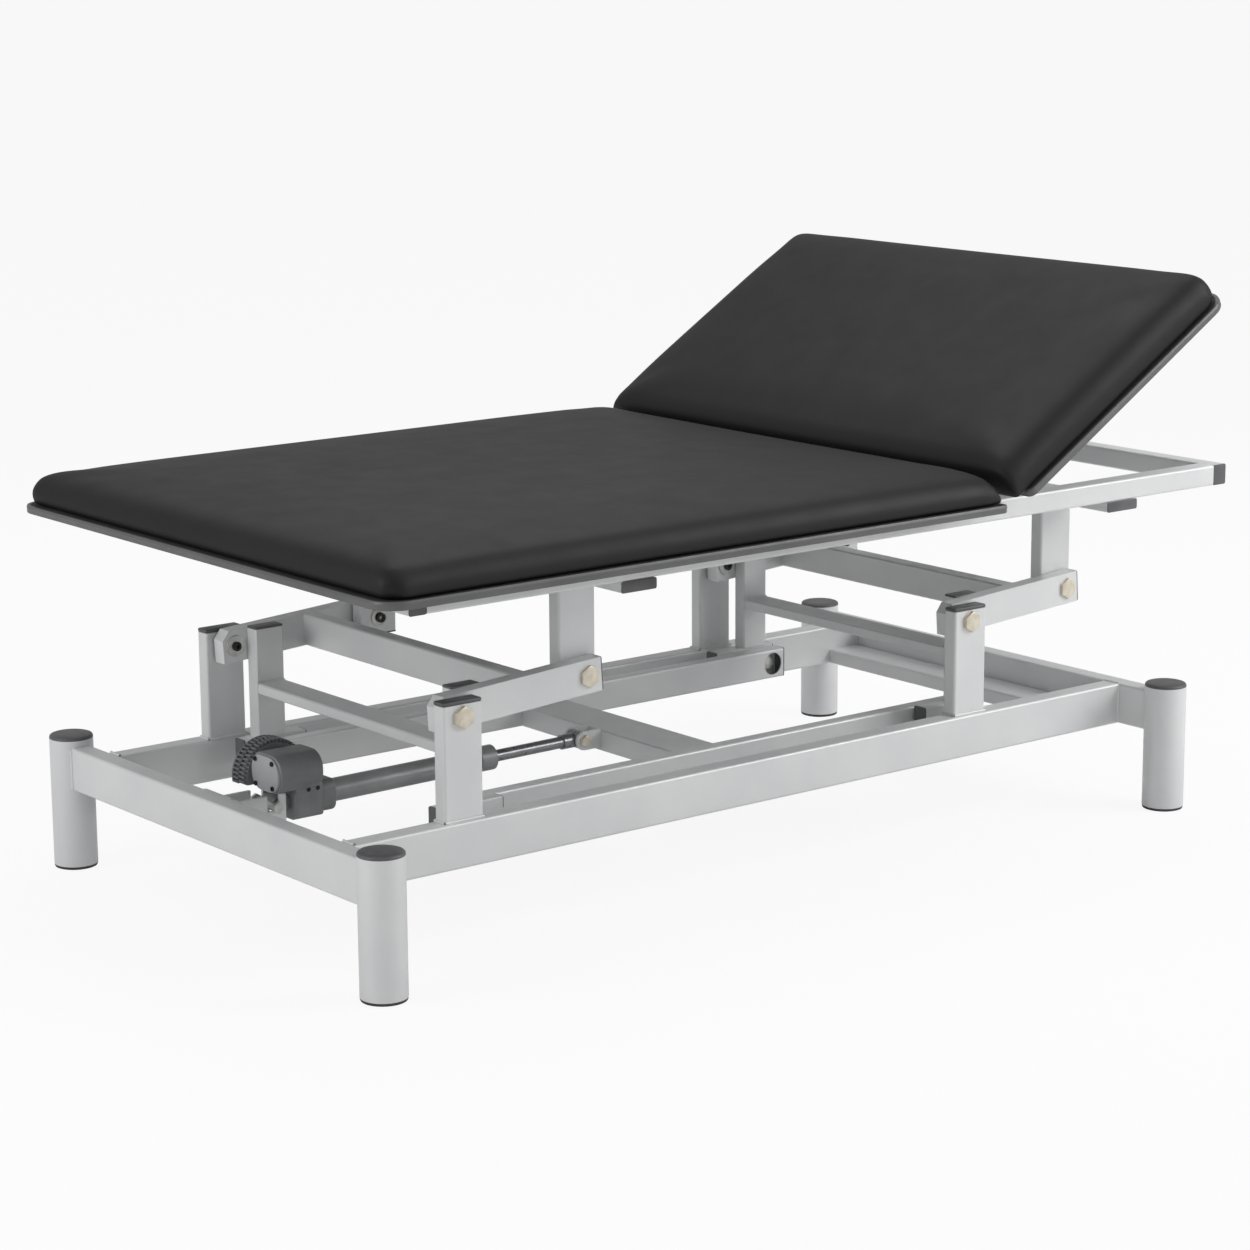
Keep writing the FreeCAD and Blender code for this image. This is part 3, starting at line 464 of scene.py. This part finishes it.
def block(shape, low, high, axis, corner, edge):
    """A moulded block whose edges along one axis are well rounded, the rest softly."""
    low, high = Vector(low), Vector(high)
    size = high - low
    old = set(shape.verts)
    made = bmesh.ops.create_cube(shape, size=1.0,
                                 matrix=Matrix.Translation((low + high) / 2)
                                 @ Matrix.Diagonal((*size, 1.0)))["verts"]
    long_edges = [e for e in {e for v in made for e in v.link_edges}
                  if abs((e.verts[0].co - e.verts[1].co)[axis]) > 0.5 * size[axis]]
    bmesh.ops.bevel(shape, geom=long_edges, offset=corner, offset_type="OFFSET",
                    segments=10, profile=0.5, affect="EDGES", material=-1)
    ends = [f for f in shape.faces if abs(f.normal[axis]) > 0.9
            and not any(v in old for v in f.verts)]
    rims = list({e for f in ends for e in f.edges})
    bmesh.ops.bevel(shape, geom=rims, offset=edge, offset_type="OFFSET", segments=3,
                    profile=0.5, affect="EDGES", material=-1)


x0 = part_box("gear_housing")[0].x
MOTOR_CORNER = 0.031
PIN_X, PIN_Z = x0 + 0.047, 0.195
case = bmesh.new()
block(case, (x0 + 0.082, -0.030, 0.163), (x0 + 0.146, 0.030, 0.226), 0, 0.007, 0.003)
block(case, (x0 + 0.143, -0.0285, 0.166), (x0 + 0.1745, 0.0285, 0.2235), 0, 0.016, 0.004)
block(case, (x0 + 0.008, -0.110, 0.235), (x0 + 0.096, -0.0143, 0.303), 0, MOTOR_CORNER, 0.004)
block(case, (x0 + 0.082, -0.028, 0.215), (x0 + 0.124, -0.0143, 0.262), 2, 0.004, 0.001)
block(case, (x0 + 0.082, -0.040, 0.212), (x0 + 0.104, -0.020, 0.232), 2, 0.003, 0.001)
block(case, (x0 + 0.047, -0.0195, 0.179), (x0 + 0.084, 0.0195, 0.211), 1, 0.015, 0.002)
block(case, (x0 + 0.0835, -0.0315, 0.172), (x0 + 0.090, 0.0315, 0.2185), 0, 0.006, 0.001)
bmesh.ops.translate(case, vec=(0, DRIVE_Y, 0), verts=case.verts)
bmesh.ops.recalc_face_normals(case, faces=case.faces)
made = keep(case, "gear_case", "actuator_body", casting)
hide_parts("gear_housing")
cover = bmesh.new()
block(cover, (x0 + 0.003, -0.107, 0.238), (x0 + 0.0085, -0.023, 0.300), 0,
      MOTOR_CORNER - 0.003, 0.0012)
bmesh.ops.translate(cover, vec=(0, DRIVE_Y, 0), verts=cover.verts)
bmesh.ops.recalc_face_normals(cover, faces=cover.faces)
keep(cover, "motor_cover", "actuator_body", cover_paint)
case_screws = bmesh.new()
for y, z in ((-0.037, 0.291), (-0.090, 0.291), (-0.037, 0.247), (-0.090, 0.247)):
    old = set(case_screws.verts)
    socket_screw(case_screws, 0.0044, 0.0028, 0, 0, 0, 1.0)
    new = [v for v in case_screws.verts if v not in old]
    turn = Matrix.Translation((x0 + 0.0034, y, z)) @ Matrix.Rotation(math.radians(90), 4, "Z")
    bmesh.ops.transform(case_screws, matrix=turn, verts=new)
for k in range(3):
    disc(case_screws, 0.0042, 0.0012, 20, 0.0003, x0 + 0.096 + 0.019 * k, -0.0295, 0.2145, -1.0)
bmesh.ops.translate(case_screws, vec=(0, DRIVE_Y, 0), verts=case_screws.verts)
keep(case_screws, "case_screws", "actuator_body", black_screw)
rear_pin = bmesh.new()
shank(rear_pin, 0.006, PIN_X, -0.036, 0.036, PIN_Z)
disc(rear_pin, 0.0108, 0.0062, 6, 0.001, PIN_X, -0.0332, PIN_Z, -1.0)
disc(rear_pin, 0.0108, 0.0062, 6, 0.001, PIN_X, 0.0332, PIN_Z, 1.0)
bmesh.ops.translate(rear_pin, vec=(0, DRIVE_Y, 0), verts=rear_pin.verts)
keep(rear_pin, "rear_pin", "actuator_body", zinc)

# Ribbed cap. A moulded half drum over the gear wheel, with two rows of close cooling
# ribs set half a pitch apart and a smooth rim on the far side.
grey_moulding = surface("grey_moulding", (98, 100, 102), (110, 112, 114), (0.36, 0.5),
                        (900.0, 0.18, 0.0003), patch=16.0)[0]
drum_x, drum_z, drum_r = x0 + 0.057, 0.248, 0.060
RIB_PITCH = 7.2
drum = bmesh.new()
disc(drum, drum_r - 0.0015, 0.042, 64, 0.003, drum_x, -0.014, drum_z, 1.0)
disc(drum, drum_r + 0.0035, 0.004, 64, 0.0012, drum_x, 0.024, drum_z, 1.0)
for row, (y0, y1) in enumerate(((-0.0125, 0.0035), (0.0055, 0.0225))):
    for k in range(-1, 27):
        angle = math.radians(-4 + RIB_PITCH * (k + 0.5 * row))
        old = set(drum.verts)
        block(drum, (-0.0019, y0, drum_r - 0.005), (0.0019, y1, drum_r + 0.0045), 2,
              0.0010, 0.0008)
        new = [v for v in drum.verts if v not in old]
        turn = (Matrix.Translation((drum_x, 0, drum_z))
                @ Matrix.Rotation(math.radians(90) - angle, 4, "Y"))
        bmesh.ops.transform(drum, matrix=turn, verts=new)
bmesh.ops.bisect_plane(drum, geom=drum.verts[:] + drum.edges[:] + drum.faces[:],
                       plane_co=(0, 0, 0.238), plane_no=(0, 0, -1), clear_outer=True)
bmesh.ops.holes_fill(drum, edges=[e for e in drum.edges if e.is_boundary], sides=0)
bmesh.ops.translate(drum, vec=(0, DRIVE_Y, 0), verts=drum.verts)
bmesh.ops.recalc_face_normals(drum, faces=drum.faces)
made = keep(drum, "ribbed_drum", "actuator_body", grey_moulding)
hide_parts("ribbed_cap")

# Upper frame. Square tube rails with end rails across them, two flat cross tubes
# below and four down posts that hang between the lift arms.
TOP_NODES = ["top_rail_near", "top_rail_far", "top_end_foot", "top_end_head",
             "hinge_rail", "flat_tube_foot", "flat_tube_head"]
DOWN_NODES = ["down_post_foot_near", "down_post_foot_far", "down_post_head_near",
              "down_post_head_far"]
dress(TOP_NODES + DOWN_NODES, silver_coat)
beads = bmesh.new()
for node in DOWN_NODES:
    foot_beads(beads, node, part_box(node)[1].z - 0.001)
bmesh.ops.recalc_face_normals(beads, faces=beads.faces)
keep(beads, "upper_welds", "upper_frame", silver_coat, 60.0)

end_plugs = bmesh.new()
for node in ("top_end_foot", "top_end_head", "flat_tube_foot", "flat_tube_head"):
    low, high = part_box(node)
    z0 = low.z
    z1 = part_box("top_rail_near")[0].z if node.startswith("flat") else high.z
    for s in (-1.0, 1.0):
        y0, y1 = sorted((s * high.y, s * (high.y + 0.002)))
        plug(end_plugs, (low.x, y0, z0), (high.x, y1, z1), rim=0.0008)
for node in DOWN_NODES:
    low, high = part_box(node)
    plug(end_plugs, (low.x, low.y, low.z - 0.003), (high.x, high.y, low.z), rim=0.0012)
made = keep(end_plugs, "upper_end_plugs", "upper_frame", dark_plastic)
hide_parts("upper_plugs")

# Upper pivot screws. A pan of zinc washer and black socket screw on the inner face
# of each down post, with a low hexagon on the outside of the arm.
washers = bmesh.new()
blacks = bmesh.new()
outer_heads = bmesh.new()
for node in DOWN_NODES:
    low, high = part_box(node)
    x = (low.x + high.x) / 2
    z = low.z + 0.030
    s = 1.0 if low.y > 0 else -1.0
    disc(washers, 0.015, 0.0027, 32, 0.0006, x, s * 0.320, z, s)
    disc(washers, 0.017, 0.003, 32, 0.0007, x, s * 0.290, z, -s)
    shank(washers, PIVOT_SHANK_R, x, s * 0.284, s * 0.3575, z)
    disc(outer_heads, 0.0203, 0.0054, 6, 0.0018, x, s * 0.3533, z, s)
    socket_screw(blacks, 0.0095, 0.007, x, s * 0.287, z, -s)
made = keep(washers, "upper_pivot_washers", "upper_frame", zinc)
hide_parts("upper_pivot_screws")
keep(outer_heads, "upper_pivot_heads", "upper_frame", yellow_zinc)
keep(blacks, "upper_pivot_sockets", "upper_frame", black_screw)

# Hinges. Zinc-plated barrels with a pin, two on the hinge rail at each side and one
# leaf between them under the backrest board.
dress(["hinge_knuckles", "back_fittings"], zinc)

# Boards. Each section lies on a plywood board with a dark lining below, edged with a
# grey plastic strip that has one raised line along its upper third.
lining = surface("board_lining", (52, 52, 54), (62, 62, 64), (0.7, 0.85),
                 (800.0, 0.35, 0.0004), patch=12.0)[0]
strip = surface("edge_strip", (92, 92, 93), (100, 100, 101), (0.34, 0.46),
                (900.0, 0.12, 0.0002), patch=8.0)[0]
board_low, board_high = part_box("main_board")
BARREL_R = 0.0114
hinge_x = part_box("hinge_knuckles")[1].x - BARREL_R
HINGE_Z = 0.659
REST = math.radians(31.6)
BOARD_T = 0.014
WIDE = board_high.y
STRIP_W = 0.004
OUTER_CORNER = 0.046
INNER_CORNER = 0.015
PANEL_IN = 0.003


def panel(shape, x0, x1, half, z0, z1, corner_low, corner_high):
    """A flat panel with its own corner radius at each end."""
    made = bmesh.ops.create_cube(
        shape, size=1.0,
        matrix=Matrix.Translation(((x0 + x1) / 2, 0, (z0 + z1) / 2))
        @ Matrix.Diagonal((x1 - x0, 2 * half, z1 - z0, 1.0)))["verts"]
    for x, corner in ((x0, corner_low), (x1, corner_high)):
        upright = [e for e in shape.edges
                   if abs(e.verts[0].co.z - e.verts[1].co.z) > (z1 - z0) / 2
                   and abs(e.verts[0].co.x - x) < 1e-5]
        bmesh.ops.bevel(shape, geom=upright, offset=corner, offset_type="OFFSET",
                        segments=10, profile=0.5, affect="EDGES", material=-1)


def edge_strip(shape, x0, x1, half, z0, corner_low, corner_high):
    """The strip all round a board: an upright band with a raised line and soft lips."""
    panel(shape, x0 + 0.0016, x1 - 0.0016, half - 0.0016, z0, z0 + BOARD_T,
          corner_low - 0.0016, corner_high - 0.0016)
    flat = [f for f in shape.faces if abs(f.normal.z) > 0.9]
    bmesh.ops.delete(shape, geom=flat, context="FACES")
    levels = (0.0012, 0.0030, 0.0078, 0.0090, 0.0102, 0.0114, 0.0128)
    for level in levels:
        bmesh.ops.bisect_plane(shape, geom=shape.verts[:] + shape.edges[:] + shape.faces[:],
                               plane_co=(0, 0, z0 + level), plane_no=(0, 0, 1))
    shape.normal_update()
    push = {0.0: 0.0, 0.0012: 0.0009, 0.0030: 0.0011, 0.0078: 0.0009, 0.0090: 0.0016,
            0.0102: 0.0016, 0.0114: 0.0009, 0.0128: 0.0009, 0.014: 0.0}
    moves = []
    for v in shape.verts:
        rise = min(push, key=lambda level: abs(level - (v.co.z - z0)))
        out = Vector((v.normal.x, v.normal.y, 0)).normalized()
        moves.append((v, out * push[rise]))
    for v, move in moves:
        v.co += move
    rims = [e for e in shape.edges if e.is_boundary]
    for z in (z0, z0 + BOARD_T):
        loop = [e for e in rims if abs(e.verts[0].co.z - z) < 1e-5
                and abs(e.verts[1].co.z - z) < 1e-5]
        out = bmesh.ops.extrude_edge_only(shape, edges=loop)["geom"]
        verts = [g for g in out if isinstance(g, bmesh.types.BMVert)]
        for v in verts:
            v.co.x += math.copysign(STRIP_W, (x0 + x1) / 2 - v.co.x)
            v.co.y += math.copysign(STRIP_W, -v.co.y)


board = bmesh.new()
panel(board, board_low.x + PANEL_IN, board_high.x - PANEL_IN, WIDE - PANEL_IN,
      board_low.z + 0.0006, board_high.z - 0.0004, OUTER_CORNER - PANEL_IN,
      INNER_CORNER - PANEL_IN)
made = keep(board, "main_panel", "upper_frame", lining)
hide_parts("main_board")
edging = bmesh.new()
edge_strip(edging, board_low.x, board_high.x, WIDE, board_low.z, OUTER_CORNER,
           INNER_CORNER)
bmesh.ops.recalc_face_normals(edging, faces=edging.faces)
keep(edging, "main_edge_strip", "upper_frame", strip, 50.0)


def lean_back(shape):
    """Turns what was drawn flat up to the backrest's rest angle."""
    turn = Matrix.Rotation(-REST, 4, "Y")
    about = Matrix.Translation((hinge_x, 0, HINGE_Z))
    bmesh.ops.transform(shape, matrix=about @ turn @ about.inverted(), verts=shape.verts)


BACK_START, BACK_END = 0.037, 0.645
back_x0, back_x1 = hinge_x + BACK_START, hinge_x + BACK_END
back_z0 = board_low.z + 0.0003
board = bmesh.new()
panel(board, back_x0 + PANEL_IN, back_x1 - PANEL_IN, WIDE - PANEL_IN, back_z0 + 0.0006,
      board_high.z - 0.0004, INNER_CORNER - PANEL_IN, OUTER_CORNER - PANEL_IN)
lean_back(board)
made = keep(board, "back_panel", "backrest", lining)
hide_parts("back_board")
edging = bmesh.new()
edge_strip(edging, back_x0, back_x1, WIDE, back_z0, INNER_CORNER, OUTER_CORNER)
bmesh.ops.recalc_face_normals(edging, faces=edging.faces)
lean_back(edging)
keep(edging, "back_edge_strip", "backrest", strip, 50.0)

# Pads. Thick foam under anthracite upholstery vinyl, pulled down over the edges of
# the board, so that the sides roll over in one soft curve. At the hinge the seat's end
# slopes back and the backrest's end is nearly square, so that they meet when raised.
PAD_IN = 0.002
CROWN = 0.0035
PAD_CORNER = 0.042
SWELL = 0.005
HINGE_OVER = 0.024
HINGE_CORNER = 0.0165
LEAN_MAIN = math.radians(36.0)
LEAN_BACK = math.radians(-4.0)
VOXEL = 0.012


def roll(radius, height):
    """The pad's edge from the board up: a short upright wall, a quarter round and a
    slight crown, as pairs of inset and rise."""
    steps = []
    for degrees in (12, 24, 34, 44, 54, 64, 75, 90):
        turn = math.radians(degrees)
        steps.append((radius * (1 - math.cos(turn)), height - radius * (1 - math.sin(turn))))
    for share, inset in ((0.45, 0.085), (0.75, 0.140), (0.93, 0.200), (1.0, 0.260)):
        steps.append((inset, height + CROWN * share))
    return steps


def leather(name):
    """Upholstery vinyl: pebbled grain, soft folds and an uneven satin gloss."""
    finish, tree, shader, place = start_finish(name)
    broad = speckle(tree, place, 2.6, 3.0)
    colour = between(tree, broad, tone(30, 30, 30), tone(32, 32, 32))
    tree.links.new(colour, shader.inputs["Base Color"])
    gloss = ranged(tree, speckle(tree, place, 14.0, 3.0), 0.52, 0.58)
    tree.links.new(gloss, shader.inputs["Roughness"])
    grain = tree.nodes.new("ShaderNodeTexVoronoi")
    grain.feature = "SMOOTH_F1"
    grain.inputs["Scale"].default_value = 620.0
    grain.inputs["Smoothness"].default_value = 0.6
    tree.links.new(place, grain.inputs["Vector"])
    fine = tree.nodes.new("ShaderNodeBump")
    fine.inputs["Strength"].default_value = 0.22
    fine.inputs["Distance"].default_value = 0.0005
    tree.links.new(grain.outputs["Distance"], fine.inputs["Height"])
    folds = tree.nodes.new("ShaderNodeBump")
    folds.inputs["Strength"].default_value = 0.07
    folds.inputs["Distance"].default_value = 0.004
    tree.links.new(speckle(tree, place, 7.0, 2.0), folds.inputs["Height"])
    tree.links.new(fine.outputs["Normal"], folds.inputs["Normal"])
    tree.links.new(folds.outputs["Normal"], shader.inputs["Normal"])
    shader.inputs["Specular IOR Level"].default_value = 0.3
    return finish


vinyl = leather("anthracite_vinyl")


def pad_form(x0, x1, z0, outer_is_low, lean, radius, height):
    """The pad before it is stuffed: its edge rolls over in even steps, and the hinge
    end is cut along a slope through the hinge axis."""
    shape = bmesh.new()
    half = WIDE - PAD_IN
    if outer_is_low:
        panel(shape, x0, x1 + HINGE_OVER, half, z0, z0 + 0.004, PAD_CORNER, HINGE_CORNER)
        outward = Vector((1, 0, 0))
    else:
        panel(shape, x0 - HINGE_OVER, x1, half, z0, z0 + 0.004, HINGE_CORNER, PAD_CORNER)
        outward = Vector((-1, 0, 0))
    shape.normal_update()
    top = [f for f in shape.faces if f.normal.z > 0.95]
    bmesh.ops.inset_region(shape, faces=top, thickness=0.0004, depth=0.0,
                           use_even_offset=True)
    bmesh.ops.translate(shape, vec=(0, 0, height - radius - 0.004),
                        verts=list({v for f in top for v in f.verts}))
    inset, rise = 0.0004, height - radius
    for next_inset, next_rise in roll(radius, height):
        bmesh.ops.inset_region(shape, faces=top, thickness=next_inset - inset,
                               depth=0.0, use_even_offset=True)
        bmesh.ops.translate(shape, vec=(0, 0, next_rise - rise),
                            verts=list({v for f in top for v in f.verts}))
        inset, rise = next_inset, next_rise
        if inset > 0.009:
            rim = list({v for f in top for v in f.verts})
            bmesh.ops.remove_doubles(shape, verts=rim,
                                     dist=0.0048 if inset < 0.03 else 0.012)
            top = [f for f in shape.faces if f.calc_center_median().z > z0 + rise - 1e-4]
    normal = Matrix.Rotation(-lean, 3, "Y") @ outward
    at_hinge = Vector((hinge_x, 0, HINGE_Z)) - normal * 0.002
    bmesh.ops.bisect_plane(shape, geom=shape.verts[:] + shape.edges[:] + shape.faces[:],
                           plane_co=at_hinge, plane_no=normal, clear_outer=True)
    bmesh.ops.holes_fill(shape, edges=[e for e in shape.edges if e.is_boundary], sides=0)
    bmesh.ops.recalc_face_normals(shape, faces=shape.faces)
    return shape


def stuff(shape, name, floor_z, most, lean, x0, x1, belly):
    """Fills a pad: an even skin, blown up as cloth from its seat, then held to a limit.
    At the end the edge above the hinge is worn round, and the pad is raised between its
    ends by a share of its thickness."""
    mesh = bpy.data.meshes.new(name)
    shape.to_mesh(mesh)
    shape.free()
    pad = bpy.data.objects.new(name, mesh)
    bpy.context.scene.collection.objects.link(pad)
    skin = pad.modifiers.new("Skin", "REMESH")
    skin.mode = "VOXEL"
    skin.voxel_size = VOXEL
    looked_at = bpy.context.evaluated_depsgraph_get()
    even = bpy.data.meshes.new_from_object(pad.evaluated_get(looked_at))
    pad.modifiers.clear()
    pad.data = even
    before = [v.co.copy() for v in even.vertices]
    seat = pad.vertex_groups.new(name="seat")
    seat.add([v.index for v in even.vertices if v.co.z < floor_z + 0.004], 1.0, "REPLACE")
    cloth = pad.modifiers.new("Stuffing", "CLOTH")
    cloth.settings.quality = 5
    cloth.settings.mass = 0.3
    cloth.settings.tension_stiffness = 20
    cloth.settings.compression_stiffness = 20
    cloth.settings.bending_stiffness = 0.8
    cloth.settings.use_pressure = True
    cloth.settings.uniform_pressure_force = 4.0
    cloth.settings.vertex_group_mass = "seat"
    cloth.settings.effector_weights.gravity = 0.0
    cloth.point_cache.frame_start = 1
    cloth.point_cache.frame_end = 20
    for step in range(1, 21):
        bpy.context.scene.frame_set(step)
    looked_at = bpy.context.evaluated_depsgraph_get()
    blown = pad.evaluated_get(looked_at).to_mesh()
    after = [v.co.copy() for v in blown.vertices]
    pad.evaluated_get(looked_at).to_mesh_clear()
    pad.modifiers.clear()
    bpy.context.scene.frame_set(1)
    for v, a, b in zip(even.vertices, before, after):
        move = b - a
        v.co = a + move * (min(move.length, most) / max(move.length, 1e-9))
    pad.vertex_groups.clear()
    smooth = bmesh.new()
    smooth.from_mesh(even)
    for step in range(5):
        upper = [v for v in smooth.verts if v.co.z > floor_z + 0.006]
        bmesh.ops.smooth_vert(smooth, verts=upper, factor=0.5, use_axis_x=True,
                              use_axis_y=True, use_axis_z=True)
    along = Vector((-math.sin(lean), 0, math.cos(lean)))
    square = Vector((math.cos(lean), 0, math.sin(lean)))
    hinge = Vector((hinge_x, 0, HINGE_Z))
    near_hinge = [v for v in smooth.verts if abs((v.co - hinge).dot(square)) < 0.035
                  and (v.co - hinge).dot(along) > 0.035]
    for step in range(5):
        bmesh.ops.smooth_vert(smooth, verts=near_hinge, factor=0.5, use_axis_x=True,
                              use_axis_y=True, use_axis_z=True)
    for v in smooth.verts:
        share = 2.0 * min(1.0, max(0.0, (v.co.x - x0) / (x1 - x0))) - 1.0
        v.co.z += max(0.0, v.co.z - floor_z) * belly * (1.0 - share ** 4)
    for face in smooth.faces:
        face.smooth = True
    smooth.to_mesh(even)
    smooth.free()
    finer = pad.modifiers.new("Finer", "SUBSURF")
    finer.levels = finer.render_levels = 1
    return pad


seat_z = board_high.z + 0.0005
shape = pad_form(board_low.x + PAD_IN, hinge_x, seat_z, True, LEAN_MAIN, 0.044, 0.0565)
main_pad = stuff(shape, "main_cushion", seat_z, SWELL, LEAN_MAIN,
                 board_low.x, hinge_x, 0.10)
main_pad.data.materials.append(vinyl)
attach(main_pad, "upper_frame")
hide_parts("main_pad")

shape = pad_form(hinge_x, back_x1 - PAD_IN, seat_z, False, LEAN_BACK, 0.046, 0.0700)
back_pad = stuff(shape, "back_cushion", seat_z, SWELL, LEAN_BACK,
                 hinge_x, back_x1, 0.12)
lifted = bmesh.new()
lifted.from_mesh(back_pad.data)
lean_back(lifted)
lifted.to_mesh(back_pad.data)
lifted.free()
back_pad.data.materials.append(vinyl)
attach(back_pad, "backrest")
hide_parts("back_pad")

# Gas spring. A black enamelled cylinder on the head cross tube and a ground rod that
# pushes the backrest up.
enamel = surface("black_enamel", (26, 26, 28), (34, 34, 36), (0.2, 0.3),
                 (900.0, 0.08, 0.0002), patch=12.0)[0]
dress(["strut_cylinder"], enamel)
dress(["strut_rod"], rod_steel)

# Studio. A plain pale floor and white surroundings, one broad soft light from the
# front right, a weaker one from the left and one from above.
ground = bmesh.new()
bmesh.ops.create_grid(ground, x_segments=1, y_segments=1, size=90.0)
floor_mesh = bpy.data.meshes.new("floor")
ground.to_mesh(floor_mesh)
ground.free()
floor = bpy.data.objects.new("floor", floor_mesh)
bpy.context.scene.collection.objects.link(floor)
floor_finish, tree, shader, place = start_finish("floor_paper")
tree.nodes.remove(shader)
paper = tree.nodes.new("ShaderNodeBsdfDiffuse")
paper.inputs["Color"].default_value = (0.86, 0.86, 0.86, 1.0)
glow = tree.nodes.new("ShaderNodeEmission")
glow.inputs["Color"].default_value = (1.0, 1.0, 1.0, 1.0)
glow.inputs["Strength"].default_value = 1.0
path = tree.nodes.new("ShaderNodeLightPath")
share = tree.nodes.new("ShaderNodeMath")
share.operation = "MULTIPLY"
share.inputs[1].default_value = 0.9
mix = tree.nodes.new("ShaderNodeMixShader")
tree.links.new(path.outputs["Is Camera Ray"], share.inputs[0])
tree.links.new(share.outputs["Value"], mix.inputs["Fac"])
tree.links.new(paper.outputs["BSDF"], mix.inputs[1])
tree.links.new(glow.outputs["Emission"], mix.inputs[2])
tree.links.new(mix.outputs["Shader"], tree.nodes["Material Output"].inputs["Surface"])
floor_mesh.materials.append(floor_finish)

scene = bpy.context.scene
scene.world = bpy.data.worlds.new("studio")
scene.world.use_nodes = True
sky = scene.world.node_tree
light = sky.nodes["Background"]
light.inputs["Color"].default_value = (1.0, 1.0, 1.0, 1.0)
light.inputs["Strength"].default_value = 0.45
white = sky.nodes.new("ShaderNodeBackground")
white.inputs["Color"].default_value = (1.0, 1.0, 1.0, 1.0)
white.inputs["Strength"].default_value = 1.0
path = sky.nodes.new("ShaderNodeLightPath")
seen = sky.nodes.new("ShaderNodeMath")
seen.operation = "MAXIMUM"
pick = sky.nodes.new("ShaderNodeMixShader")
sky.links.new(path.outputs["Is Camera Ray"], seen.inputs[0])
sky.links.new(path.outputs["Is Transmission Ray"], seen.inputs[1])
sky.links.new(seen.outputs["Value"], pick.inputs["Fac"])
sky.links.new(light.outputs["Background"], pick.inputs[1])
sky.links.new(white.outputs["Background"], pick.inputs[2])
sky.links.new(pick.outputs["Shader"], sky.nodes["World Output"].inputs["Surface"])


def lamp(name, spot, aim, size, power):
    """A square soft light that looks at a point."""
    data = bpy.data.lights.new(name, "AREA")
    data.shape = "SQUARE"
    data.size = size
    data.energy = power
    made = bpy.data.objects.new(name, data)
    made.location = spot
    made.rotation_euler = (Vector(aim) - Vector(spot)).to_track_quat("-Z", "Y").to_euler()
    bpy.context.scene.collection.objects.link(made)


lamp("key_light", (3.4, -3.4, 2.8), (0.3, 0.0, 0.4), 2.6, 125.0)
lamp("side_light", (-4.6, 0.4, 2.0), (0.0, 0.0, 0.3), 2.2, 52.0)
lamp("top_light", (0.8, 0.8, 4.2), (0.2, 0.0, 0.5), 3.0, 50.0)

# Camera, at the height and the angle of the photograph.
view = bpy.data.cameras.new("camera")
view.lens = 95.249
view.sensor_width = 36.0
view.clip_end = 200.0
camera = bpy.data.objects.new("camera", view)
turn, tip, roll = math.radians(38.397), math.radians(12.209), math.radians(-0.36)
forward = Vector((math.sin(turn) * math.cos(tip), math.cos(turn) * math.cos(tip), -math.sin(tip)))
right = Vector((math.cos(turn), -math.sin(turn), 0.0))
up = right.cross(forward)
across = right * math.cos(roll) + up * math.sin(roll)
above = up * math.cos(roll) - right * math.sin(roll)
camera.matrix_world = Matrix((
    (across.x, above.x, -forward.x, -3.8517),
    (across.y, above.y, -forward.y, -4.7480),
    (across.z, above.z, -forward.z, 1.7224),
    (0.0, 0.0, 0.0, 1.0)))
scene.collection.objects.link(camera)
scene.camera = camera
scene.view_settings.view_transform = "Standard"
